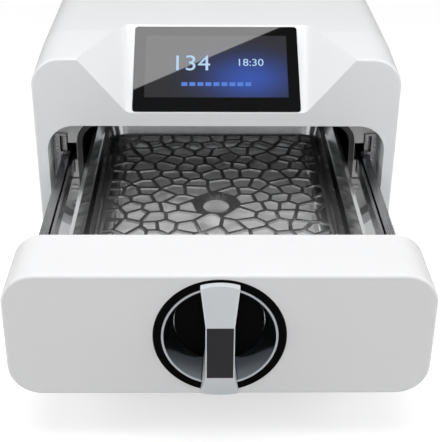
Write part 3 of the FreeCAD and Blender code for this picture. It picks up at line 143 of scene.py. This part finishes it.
def makeSteelGroup():
    # rolled or brushed metal: fine lines along the stretched axis, with wiped patches
    group, into, out = newGroup(
        "brushedSteel",
        [("Lines", "NodeSocketVector", (0, 0, 0)), ("Place", "NodeSocketVector", (0, 0, 0)),
         ("Colour", "NodeSocketColor", (0.6, 0.6, 0.6, 1)), ("Roughness", "NodeSocketFloat", 0.3),
         ("Streak", "NodeSocketFloat", 0.2), ("Patches", "NodeSocketFloat", 0.1)],
        [("Colour", "NodeSocketColor"), ("Roughness", "NodeSocketFloat"), ("Height", "NodeSocketFloat")])
    lines = noiseNode(group, into.outputs["Lines"], 1.0, 3.0, 0.65)
    patches = noiseNode(group, into.outputs["Place"], steelGrain["patchScale"], 3.0, 0.5)
    streak = spread(group, lines, into.outputs["Streak"])
    patch = spread(group, patches, into.outputs["Patches"])
    value = mathNode(group, "ADD", mathNode(group, "ADD", streak, patch), 1.0)
    group.links.new(scaled(group, into.outputs["Colour"], value), out.inputs["Colour"])
    rough = mathNode(group, "ADD", into.outputs["Roughness"], mathNode(group, "ADD", streak, patch), True)
    group.links.new(rough, out.inputs["Roughness"])
    group.links.new(lines, out.inputs["Height"])
    return group


def makeWipeGroup():
    # wiped gloss: faint smears in the roughness of chrome, glass and black gloss
    group, into, out = newGroup(
        "wipedGloss",
        [("Vector", "NodeSocketVector", (0, 0, 0)), ("Roughness", "NodeSocketFloat", 0.08),
         ("Smears", "NodeSocketFloat", 0.05)],
        [("Roughness", "NodeSocketFloat"), ("Height", "NodeSocketFloat")])
    vector = into.outputs["Vector"]
    film = noiseNode(group, vector, glossGrain["smearScale"], 4.0, 0.6)
    smear = spread(group, film, into.outputs["Smears"])
    rough = mathNode(group, "ADD", into.outputs["Roughness"], smear, True)
    group.links.new(rough, out.inputs["Roughness"])
    wave = noiseNode(group, vector, glossGrain["waveScale"], 1.0, 0.4)
    group.links.new(wave, out.inputs["Height"])
    return group


skinGroup = makeSkinGroup()
steelGroup = makeSteelGroup()
wipeGroup = makeWipeGroup()


# Materials

def newMaterial(name):
    material = bpy.data.materials.new(name)
    material.use_nodes = True
    tree = material.node_tree
    shader = tree.nodes["Principled BSDF"]
    place = tree.nodes.new("ShaderNodeTexCoord").outputs["Object"]
    return material, tree, shader, place


def stretched(tree, place, scale, turn=(0, 0, 0)):
    mapping = tree.nodes.new("ShaderNodeMapping")
    mapping.inputs["Scale"].default_value = scale
    mapping.inputs["Rotation"].default_value = turn
    tree.links.new(place, mapping.inputs["Vector"])
    return mapping.outputs[0]


def addBump(tree, shader, height, strength, distance):
    bump = tree.nodes.new("ShaderNodeBump")
    bump.inputs["Strength"].default_value = strength
    bump.inputs["Distance"].default_value = distance
    tree.links.new(height, bump.inputs["Height"])
    tree.links.new(bump.outputs[0], shader.inputs["Normal"])


def placeGroup(tree, group, values):
    node = tree.nodes.new("ShaderNodeGroup")
    node.node_tree = group
    for label, value in values.items():
        feed(tree, value, node.inputs[label])
    return node.outputs


skinFinishes = {
    "whiteEnamel": {"colour": (0.83, 0.835, 0.845), "roughness": 0.3, "coat": 0.35,
                    "grain": 900, "bump": 0.04},
    "whiteMoulding": {"colour": (0.85, 0.85, 0.86), "roughness": 0.26, "coat": 0.4,
                      "grain": 1200, "bump": 0.03},
    "greyMoulding": {"colour": (0.32, 0.325, 0.33), "roughness": 0.5, "coat": 0,
                     "grain": 1600, "bump": 0.12},
    "blackPlastic": {"colour": (0.012, 0.012, 0.013), "roughness": 0.45, "coat": 0,
                     "grain": 2000, "bump": 0.15},
    "hubBlack": {"colour": (0.003, 0.003, 0.003), "roughness": 0.35, "coat": 0,
                 "grain": 2400, "bump": 0.08, "specular": 0.03},
    "footRubber": {"colour": (0.02, 0.02, 0.02), "roughness": 0.8, "coat": 0,
                   "grain": 1400, "bump": 0.25},
    "siliconeRing": {"colour": (0.62, 0.6, 0.55), "roughness": 0.42, "coat": 0,
                     "grain": 900, "bump": 0.08},
    "fibreMat": {"colour": (0.7, 0.68, 0.62), "roughness": 0.95, "coat": 0,
                 "grain": 500, "bump": 0.6},
    "heaterMat": {"colour": (0.35, 0.09, 0.03), "roughness": 0.6, "coat": 0,
                  "grain": 700, "bump": 0.3},
    "boardGreen": {"colour": (0.01, 0.09, 0.03), "roughness": 0.4, "coat": 0.2,
                   "grain": 700, "bump": 0.1},
    "filterWhite": {"colour": (0.72, 0.74, 0.75), "roughness": 0.45, "coat": 0,
                    "grain": 1500, "bump": 0.12},
}

# lines: how often the grain repeats per metre along X, Y and Z, low along the rolling direction
steelFinishes = {
    "plateSteel": {"colour": (0.8, 0.8, 0.8), "roughness": 0.5, "metallic": 0.25,
                   "lines": (900, 900, 25), "streak": 0.1, "patches": 0.06, "bump": 0.1},
    "slideSteel": {"colour": (0.4, 0.4, 0.41), "roughness": 0.27, "metallic": 1.0,
                   "lines": (1200, 12, 1200), "streak": 0.07, "patches": 0.08, "bump": 0.05},
    "traySteel": {"colour": (0.9, 0.9, 0.9), "roughness": 0.17, "metallic": 1.0, "floorMetallic": 0.05,
                  "lines": (700, 6, 700), "streak": 0.03, "patches": 0.03, "bump": 0.01},
    "insertSteel": {"colour": (0.66, 0.66, 0.66), "roughness": 0.26, "metallic": 0.93,
                    "lines": (1000, 60, 1000), "streak": 0.05, "patches": 0.06, "bump": 0.05},
    "chamberSteel": {"colour": (0.12, 0.12, 0.123), "roughness": 0.42, "metallic": 1.0,
                     "lines": (900, 22, 900), "streak": 0.16, "patches": 0.14, "bump": 0.08},
    "screwSteel": {"colour": (0.58, 0.58, 0.58), "roughness": 0.28, "metallic": 1.0,
                   "lines": (1500, 1500, 1500), "streak": 0.14, "patches": 0.1, "bump": 0.05},
    "satinSilver": {"colour": (0.8, 0.83, 0.86), "roughness": 0.42, "metallic": 0.45,
                    "lines": (1400, 200, 60), "streak": 0.04, "patches": 0.04, "bump": 0.03},
    "castMetal": {"colour": (0.42, 0.42, 0.43), "roughness": 0.5, "metallic": 1.0,
                  "lines": (600, 600, 600), "streak": 0.15, "patches": 0.15, "bump": 0.3},
    "valveBrass": {"colour": (0.6, 0.42, 0.17), "roughness": 0.32, "metallic": 1.0,
                   "lines": (900, 200, 900), "streak": 0.1, "patches": 0.1, "bump": 0.1},
}

glossFinishes = {
    "bowlChrome": {"colour": (0.6, 0.63, 0.66), "roughness": 0.13, "metallic": 1.0, "smears": 0.04},
    "blackGloss": {"colour": (0.002, 0.002, 0.002), "roughness": 0.12, "metallic": 0.0, "smears": 0.05,
                   "specular": 0.03},
    "gripPlate": {"colour": (0.012, 0.01, 0.013), "roughness": 0.3, "metallic": 0.0, "smears": 0.05,
                  "specular": 0.4},
}

# what all finishes share; reliefs in metres
surface = {"specular": 0.5, "coatRoughness": 0.12, "skinRelief": 0.0002, "steelRelief": 0.0001,
           "glossRelief": 0.0002, "glossBump": 0.02}

# the tray's sheet, and the heights over its floor between which matt goes over into shine, in mm
trayFloor = {"sheet": 1.5, "mattUpTo": 1.0, "shinyFrom": 3.0}
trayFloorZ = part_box("tray")[0].z + trayFloor["sheet"] * mm


def makeSkin(name, finish):
    material, tree, shader, place = newMaterial(name)
    made = placeGroup(tree, skinGroup, {"Vector": place, "Colour": finish["colour"],
                                        "Roughness": finish["roughness"],
                                        "Grain Scale": float(finish["grain"])})
    tree.links.new(made["Colour"], shader.inputs["Base Color"])
    tree.links.new(made["Roughness"], shader.inputs["Roughness"])
    shader.inputs["Coat Weight"].default_value = finish["coat"]
    shader.inputs["Coat Roughness"].default_value = surface["coatRoughness"]
    shader.inputs["Specular IOR Level"].default_value = finish.get("specular", surface["specular"])
    addBump(tree, shader, made["Height"], finish["bump"], surface["skinRelief"])
    return material


def makeSteel(name, finish):
    material, tree, shader, place = newMaterial(name)
    made = placeGroup(tree, steelGroup, {"Lines": stretched(tree, place, finish["lines"]), "Place": place,
                                         "Colour": finish["colour"], "Roughness": finish["roughness"],
                                         "Streak": finish["streak"], "Patches": finish["patches"]})
    shader.inputs["Metallic"].default_value = finish["metallic"]
    if "floorMetallic" in finish:
        # the tray's floor is matt from use, and its walls and lip keep their shine
        height = tree.nodes.new("ShaderNodeSeparateXYZ")
        tree.links.new(place, height.inputs[0])
        matt = ramp(tree, height.outputs["Z"], trayFloorZ + trayFloor["shinyFrom"] * mm,
                    trayFloorZ + trayFloor["mattUpTo"] * mm)
        metal = mixColour(tree, matt, (finish["metallic"],) * 3, (finish["floorMetallic"],) * 3)
        tree.links.new(metal, shader.inputs["Metallic"])
    tree.links.new(made["Colour"], shader.inputs["Base Color"])
    tree.links.new(made["Roughness"], shader.inputs["Roughness"])
    addBump(tree, shader, made["Height"], finish["bump"], surface["steelRelief"])
    return material


def makeGloss(name, finish):
    material, tree, shader, place = newMaterial(name)
    made = placeGroup(tree, wipeGroup, {"Vector": place, "Roughness": finish["roughness"],
                                        "Smears": finish["smears"]})
    shader.inputs["Base Color"].default_value = (*finish["colour"], 1)
    shader.inputs["Metallic"].default_value = finish["metallic"]
    shader.inputs["Specular IOR Level"].default_value = finish.get("specular", surface["specular"])
    tree.links.new(made["Roughness"], shader.inputs["Roughness"])
    addBump(tree, shader, made["Height"], surface["glossBump"], surface["glossRelief"])
    return material


materials = {}
for name, finish in skinFinishes.items():
    materials[name] = makeSkin(name, finish)
for name, finish in steelFinishes.items():
    materials[name] = makeSteel(name, finish)
for name, finish in glossFinishes.items():
    materials[name] = makeGloss(name, finish)
print(len(materials), "materials made")


# Screen: the cover glass, and what shows through it

# the facet slopes back at the angle, in degrees, from the height of its foot; lengths in mm from that foot
screen = {"angle": 33.0, "footZ": 120.0, "halfWidth": 50.0, "low": 13.0, "high": 66.6, "edge": 0.5,
          "panel": (0.03, 0.03, 0.032), "border": (0.001, 0.001, 0.0012),
          "glow": (0.012, 0.06, 0.36), "glowPlace": (23.0, 29.0), "glowSize": (27.0, 17.0),
          "ior": 1.65, "specular": 1.0, "roughness": 0.015, "smears": 0.01}
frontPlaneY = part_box("outer_cover")[0].y


def facetPoint(across, up, lift=0.0):
    # from millimetres along and off the sloping facet to a point in metres
    angle = math.radians(screen["angle"])
    y = frontPlaneY + (up * math.cos(angle) - lift * math.sin(angle)) * mm
    z = (screen["footZ"] + up * math.sin(angle) + lift * math.cos(angle)) * mm
    return Vector((across * mm, y, z))


def makeScreenGlass():
    material, tree, shader, place = newMaterial("screenGlass")
    shift = tree.nodes.new("ShaderNodeVectorMath")
    shift.operation = "SUBTRACT"
    shift.inputs[1].default_value = facetPoint(0, 0)
    tree.links.new(place, shift.inputs[0])
    flat = stretched(tree, shift.outputs[0], (1 / mm,) * 3, (-math.radians(screen["angle"]), 0, 0))
    split = tree.nodes.new("ShaderNodeSeparateXYZ")
    tree.links.new(flat, split.inputs[0])
    across = mathNode(tree, "ABSOLUTE", split.outputs["X"])
    up = split.outputs["Y"]
    # the lit field inside the dark border
    edge = screen["edge"]
    withinSides = ramp(tree, across, screen["halfWidth"] + edge, screen["halfWidth"])
    overFoot = ramp(tree, up, screen["low"] - edge, screen["low"])
    underTop = ramp(tree, up, screen["high"] + edge, screen["high"])
    inside = mathNode(tree, "MULTIPLY", withinSides, mathNode(tree, "MULTIPLY", overFoot, underTop))
    # the blue glow, brightest at its place and fading out on all sides
    glowOffsets = []
    for value, middle, size in zip((split.outputs["X"], up), screen["glowPlace"], screen["glowSize"]):
        offset = mathNode(tree, "DIVIDE", mathNode(tree, "SUBTRACT", value, middle), size)
        glowOffsets.append(mathNode(tree, "MULTIPLY", offset, offset))
    far = mathNode(tree, "ADD", *glowOffsets)
    fade = mathNode(tree, "EXPONENT", mathNode(tree, "MULTIPLY", far, -1.0))
    glow = mathNode(tree, "MULTIPLY", inside, fade)
    panel = mixColour(tree, inside, screen["border"], screen["panel"])
    tree.links.new(panel, shader.inputs["Base Color"])
    tree.links.new(mixColour(tree, glow, (0, 0, 0), screen["glow"]), shader.inputs["Emission Color"])
    shader.inputs["Emission Strength"].default_value = 1.0
    shader.inputs["Specular IOR Level"].default_value = screen["specular"]
    shader.inputs["IOR"].default_value = screen["ior"]
    made = placeGroup(tree, wipeGroup, {"Vector": place, "Roughness": screen["roughness"],
                                        "Smears": screen["smears"]})
    tree.links.new(made["Roughness"], shader.inputs["Roughness"])
    return material


litColours = {"litPale": (0.5, 0.72, 0.95), "litBlue": (0.08, 0.22, 0.75)}
litForm = {"unlit": (0.01, 0.01, 0.012), "roughness": 0.2, "shadeScale": 90.0, "dimmed": 0.75}


def makeLit(name, colour):
    material, tree, shader, place = newMaterial(name)
    shader.inputs["Base Color"].default_value = (*litForm["unlit"], 1)
    shade = noiseNode(tree, place, litForm["shadeScale"], 1.0, 0.5)
    light = mixColour(tree, shade, colour, tuple(litForm["dimmed"] * part for part in colour))
    tree.links.new(light, shader.inputs["Emission Color"])
    shader.inputs["Emission Strength"].default_value = 1.0
    shader.inputs["Roughness"].default_value = litForm["roughness"]
    return material


materials["screenGlass"] = makeScreenGlass()
for name, colour in litColours.items():
    materials[name] = makeLit(name, colour)
print("screen materials made")


# CAD nodes and their materials

nodeMaterials = {
    "outer_cover": "whiteEnamel", "opening_frame": "greyMoulding", "screen_glass": "screenGlass",
    "display_module": "blackPlastic", "display_board": "boardGreen", "front_plate_upper": "plateSteel",
    "front_plate_lower": "plateSteel", "plate_screws": "screwSteel", "base_pan": "plateSteel",
    "feet": "footRubber", "electronics_shelf": "plateSteel", "side_frames": "plateSteel",
    "chamber_vessel": "chamberSteel", "chamber_heaters": "heaterMat", "chamber_insulation": "fibreMat",
    "drain_filter": "screwSteel", "chamber_saddles": "plateSteel", "drawer_front": "whiteMoulding",
    "door_carrier": "plateSteel", "carrier_screws": "screwSteel", "door_posts": "screwSteel",
    "chamber_door": "chamberSteel", "door_gasket": "siliconeRing", "knob_ring": "blackGloss",
    "knob_bowl": "bowlChrome", "knob_hub": "hubBlack", "knob_grip": "satinSilver",
    "grip_plate": "gripPlate", "lock_cam": "screwSteel", "tray": "traySteel",
    "tray_support": "slideSteel", "tray_insert": "insertSteel", "steam_generator": "chamberSteel",
    "vacuum_pump_head": "castMetal", "vacuum_pump_motor": "blackPlastic", "water_pump": "blackPlastic",
    "valve_manifold": "valveBrass", "condenser": "castMetal", "fan_frame": "blackPlastic",
    "fan_rotor": "blackPlastic", "power_supply": "castMetal", "control_board": "boardGreen",
    "chamber_fittings": "valveBrass", "fixed_rails": "slideSteel", "drawer_members": "slideSteel",
    "keepers": "slideSteel", "door_switch": "blackPlastic", "rear_panel": "whiteEnamel",
    "mains_inlet": "blackPlastic", "rocker_frame": "blackPlastic", "power_rocker": "blackPlastic",
    "hose_connectors": "valveBrass", "air_filter": "filterWhite",
}
for side in ("left", "right"):
    nodeMaterials.update({"middle_member_" + side: "slideSteel", "strike_roller_" + side: "screwSteel",
                          "lock_arm_" + side: "plateSteel"})
for nodeName, node in nodes.items():
    node.data.materials.clear()
    node.data.materials.append(materials[nodeMaterials[nodeName]])
print("materials on", len(nodes), "nodes")


# New pieces

def finishPiece(mesh, name, body, materialName, smoothAngle=0.0):
    piece = bpy.data.objects.new(name, mesh)
    bpy.context.scene.collection.objects.link(piece)
    mesh.materials.clear()
    mesh.materials.append(materials[materialName])
    if smoothAngle:
        mesh.shade_smooth()
        mesh.set_sharp_from_angle(angle=math.radians(smoothAngle))
    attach(piece, body)
    return piece


# lengths in mm, angles in degrees
insertForm = {"bevel": 0.28, "segments": 2, "rimAngle": 30.0, "weld": 0.02, "flat": 1.0,
              "topReach": 0.01, "smooth": 30.0}


def makeInsert():
    # the stamped insert with the rounded rims that the press leaves
    form = bmesh.new()
    form.from_mesh(nodes["tray_insert"].data)
    bmesh.ops.remove_doubles(form, verts=form.verts, dist=insertForm["weld"] * mm)
    bmesh.ops.dissolve_limit(form, angle_limit=math.radians(insertForm["flat"]),
                             verts=form.verts, edges=form.edges)
    topFrom = max(vert.co.z for vert in form.verts) - insertForm["topReach"] * mm
    rims = [edge for edge in form.edges if edge.is_manifold
            and all(vert.co.z > topFrom for vert in edge.verts)
            and edge.calc_face_angle(0) > math.radians(insertForm["rimAngle"])]
    bmesh.ops.bevel(form, geom=rims, offset=insertForm["bevel"] * mm, offset_type="OFFSET",
                    affect="EDGES", segments=insertForm["segments"], profile=0.5, material=-1,
                    clamp_overlap=True)
    mesh = bpy.data.meshes.new("perforatedInsert")
    form.to_mesh(mesh)
    form.free()
    piece = finishPiece(mesh, "perforatedInsert", "drawer", "insertSteel",
                        insertForm["smooth"])
    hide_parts("tray_insert")


# places across and up the facet, sizes and thicknesses in mm
readout = {"large": "134", "largeHeight": 14.0, "largeAt": (-18, 36),
           "small": "18:30", "smallHeight": 6.5, "smallAt": (24, 40),
           "fontScale": 1.35, "relief": 0.01, "lift": 0.36,
           "bars": 9, "barSize": (4.2, 3.2, 0.02), "barGap": 1.4, "barsUp": 24}


def onFacet(across, up):
    turn = Matrix.Rotation(math.radians(screen["angle"]), 4, "X")
    return Matrix.Translation(facetPoint(across, up, readout["lift"])) @ turn


def textPiece(name, words, height, place):
    curve = bpy.data.curves.new(name, "FONT")
    curve.body = words
    curve.size = height * mm * readout["fontScale"]
    curve.align_x = "CENTER"
    curve.extrude = readout["relief"] * mm
    holder = bpy.data.objects.new(name + "Text", curve)
    bpy.context.scene.collection.objects.link(holder)
    mesh = bpy.data.meshes.new_from_object(holder.evaluated_get(bpy.context.evaluated_depsgraph_get()))
    bpy.data.objects.remove(holder)
    mesh.transform(onFacet(*place))
    finishPiece(mesh, name, "housing", "litPale")


def makeReadout():
    # plain numbers and a row of bars on the lit panel
    textPiece("readoutLarge", readout["large"], readout["largeHeight"], readout["largeAt"])
    textPiece("readoutSmall", readout["small"], readout["smallHeight"], readout["smallAt"])
    form = bmesh.new()
    width, height, thickness = (length * mm for length in readout["barSize"])
    size = Matrix.Diagonal((width, height, thickness, 1))
    for index in range(readout["bars"]):
        across = (index - (readout["bars"] - 1) / 2) * (readout["barSize"][0] + readout["barGap"])
        bmesh.ops.create_cube(form, size=1.0, matrix=onFacet(across, readout["barsUp"]) @ size)
    mesh = bpy.data.meshes.new("readoutBars")
    form.to_mesh(mesh)
    form.free()
    finishPiece(mesh, "readoutBars", "housing", "litBlue")


makeInsert()
makeReadout()
print("new pieces made")


# Floor, light and camera

# half size and distances in metres; the floor's own glow, for the camera alone, grows to white far off
studio = {"halfSize": 8.0, "colour": (0.62, 0.62, 0.62), "cloudColour": (0.64, 0.64, 0.64),
          "cloudScale": 3.0, "roughness": 0.6, "glow": 0.53, "glowStart": 0.9, "glowEnd": 2.2}

# light of the sky by direction, low and high, and what gloss mirrors: behind the object, straight up, and
# before it straight ahead or to the sides; a pair is where a change starts and ends on a unit direction
sky = {"low": (0.46, 0.46, 0.46), "high": (0.26, 0.26, 0.26), "climb": (0.1, 0.75),
       "mirrorLow": (0.5, 0.5, 0.5), "mirrorHigh": (0.4, 0.41, 0.42),
       "zenith": (0.03, 0.031, 0.033), "zenithClimb": (0.86, 0.97),
       "ahead": (0.16, 0.165, 0.17), "aside": (0.9, 0.93, 0.96),
       "toFront": (0.2, -0.5), "toSide": (0.3, 0.75), "seen": (1, 1, 1)}

# place and size in metres from the middle of the footprint, turn in degrees about X, Y and Z, power in
# watts; lamps that aren't mirrored light the object without a glare on its gloss
softboxes = [
    {"name": "overhead", "place": (-0.106, 0.222, 1.5), "turn": (0, 0, 23), "size": (1.1, 0.5),
     "power": 3.2, "mirrored": True},
    {"name": "topFront", "place": (0, -0.36, 0.8), "turn": (18, 0, 0), "size": (0.9, 0.4),
     "power": 2.9, "mirrored": False},
    {"name": "leftFill", "place": (-1.0, -0.5, 0.6), "turn": (62, 0, -63), "size": (0.6, 0.6),
     "power": 4.2, "mirrored": False},
    {"name": "rightFill", "place": (1.0, -0.5, 0.6), "turn": (62, 0, 63), "size": (0.6, 0.6),
     "power": 4.2, "mirrored": False},
    {"name": "frontFill", "place": (0, -1.5, 0.9), "turn": (56, 0, 0), "size": (0.9, 0.5),
     "power": 2.2, "mirrored": False},
    {"name": "backFill", "place": (0, 1.3, 0.22), "turn": (-86, 0, 0), "size": (0.9, 0.3),
     "power": 3.0, "mirrored": False},
]


def makeFloor():
    form = bmesh.new()
    bmesh.ops.create_grid(form, x_segments=1, y_segments=1, size=studio["halfSize"])
    mesh = bpy.data.meshes.new("studioFloor")
    form.to_mesh(mesh)
    form.free()
    floor = bpy.data.objects.new("studioFloor", mesh)
    bpy.context.scene.collection.objects.link(floor)
    material, tree, shader, place = newMaterial("studioFloor")
    cloud = noiseNode(tree, place, studio["cloudScale"], 2.0, 0.5)
    tree.links.new(mixColour(tree, cloud, studio["colour"], studio["cloudColour"]),
                   shader.inputs["Base Color"])
    shader.inputs["Roughness"].default_value = studio["roughness"]
    length = tree.nodes.new("ShaderNodeVectorMath")
    length.operation = "LENGTH"
    tree.links.new(place, length.inputs[0])
    away = ramp(tree, length.outputs["Value"], studio["glowStart"], studio["glowEnd"])
    growth = mathNode(tree, "MULTIPLY", away, 1 - studio["glow"])
    glow = mathNode(tree, "ADD", growth, studio["glow"])
    light = tree.nodes.new("ShaderNodeEmission")
    path = tree.nodes.new("ShaderNodeLightPath")
    tree.links.new(mathNode(tree, "MULTIPLY", path.outputs["Is Camera Ray"], glow),
                   light.inputs["Strength"])
    both = tree.nodes.new("ShaderNodeAddShader")
    tree.links.new(shader.outputs[0], both.inputs[0])
    tree.links.new(light.outputs[0], both.inputs[1])
    tree.links.new(both.outputs[0], tree.nodes["Material Output"].inputs["Surface"])
    mesh.materials.append(material)


def makeWorld():
    world = bpy.data.worlds.new("studioWorld")
    bpy.context.scene.world = world
    world.use_nodes = True
    tree = world.node_tree
    background = tree.nodes["Background"]
    split = tree.nodes.new("ShaderNodeSeparateXYZ")
    tree.links.new(tree.nodes.new("ShaderNodeTexCoord").outputs["Generated"], split.inputs[0])
    overhead = ramp(tree, split.outputs["Z"], *sky["climb"])
    zenith = ramp(tree, split.outputs["Z"], *sky["zenithClimb"])
    front = ramp(tree, split.outputs["Y"], *sky["toFront"])
    aside = ramp(tree, mathNode(tree, "ABSOLUTE", split.outputs["X"]), *sky["toSide"])
    soft = mixColour(tree, overhead, sky["low"], sky["high"])
    mirrored = mixColour(tree, overhead, sky["mirrorLow"], sky["mirrorHigh"])
    mirrored = mixColour(tree, zenith, mirrored, sky["zenith"])
    mirrored = mixColour(tree, front, mirrored, mixColour(tree, aside, sky["ahead"], sky["aside"]))
    path = tree.nodes.new("ShaderNodeLightPath")
    lit = mixColour(tree, path.outputs["Is Glossy Ray"], soft, mirrored)
    seen = mathNode(tree, "MAXIMUM", path.outputs["Is Camera Ray"], path.outputs["Is Transmission Ray"])
    tree.links.new(mixColour(tree, seen, lit, sky["seen"]), background.inputs["Color"])
    background.inputs["Strength"].default_value = 1.0


def makeLights():
    for box in softboxes:
        lamp = bpy.data.lights.new(box["name"], "AREA")
        lamp.shape = "RECTANGLE"
        lamp.size, lamp.size_y = box["size"]
        lamp.energy = box["power"]
        holder = bpy.data.objects.new(box["name"], lamp)
        bpy.context.scene.collection.objects.link(holder)
        turn = Euler([math.radians(angle) for angle in box["turn"]]).to_matrix().to_4x4()
        holder.matrix_world = Matrix.Translation(box["place"]) @ turn
        holder.visible_camera = False
        holder.visible_glossy = box["mirrored"]


# place in mm from the middle of the housing's front plane at floor height, angles in degrees
cameraForm = {"fromFront": (-8.322, -647.29, 387.618), "yaw": 1.002, "pitch": 28.565, "roll": 0.496,
              "focalPixels": 1011.107, "frameHeight": 442, "sensor": 36.0, "nearest": 20.0}


def makeCamera():
    camera = bpy.data.cameras.new("camera")
    holder = bpy.data.objects.new("camera", camera)
    bpy.context.scene.collection.objects.link(holder)
    camera.sensor_width = cameraForm["sensor"]
    camera.lens = cameraForm["focalPixels"] * cameraForm["sensor"] / cameraForm["frameHeight"]
    camera.clip_start = cameraForm["nearest"] * mm
    x, y, z = cameraForm["fromFront"]
    place = Matrix.Translation((x * mm, frontPlaneY + y * mm, z * mm))
    yaw = Matrix.Rotation(-math.radians(cameraForm["yaw"]), 4, "Z")
    pitch = Matrix.Rotation(math.radians(90 - cameraForm["pitch"]), 4, "X")
    roll = Matrix.Rotation(math.radians(cameraForm["roll"]), 4, "Z")
    holder.matrix_world = place @ yaw @ pitch @ roll
    bpy.context.scene.camera = holder


makeFloor()
makeWorld()
makeLights()
makeCamera()
bpy.context.scene.view_settings.view_transform = "Standard"
print("studio made")
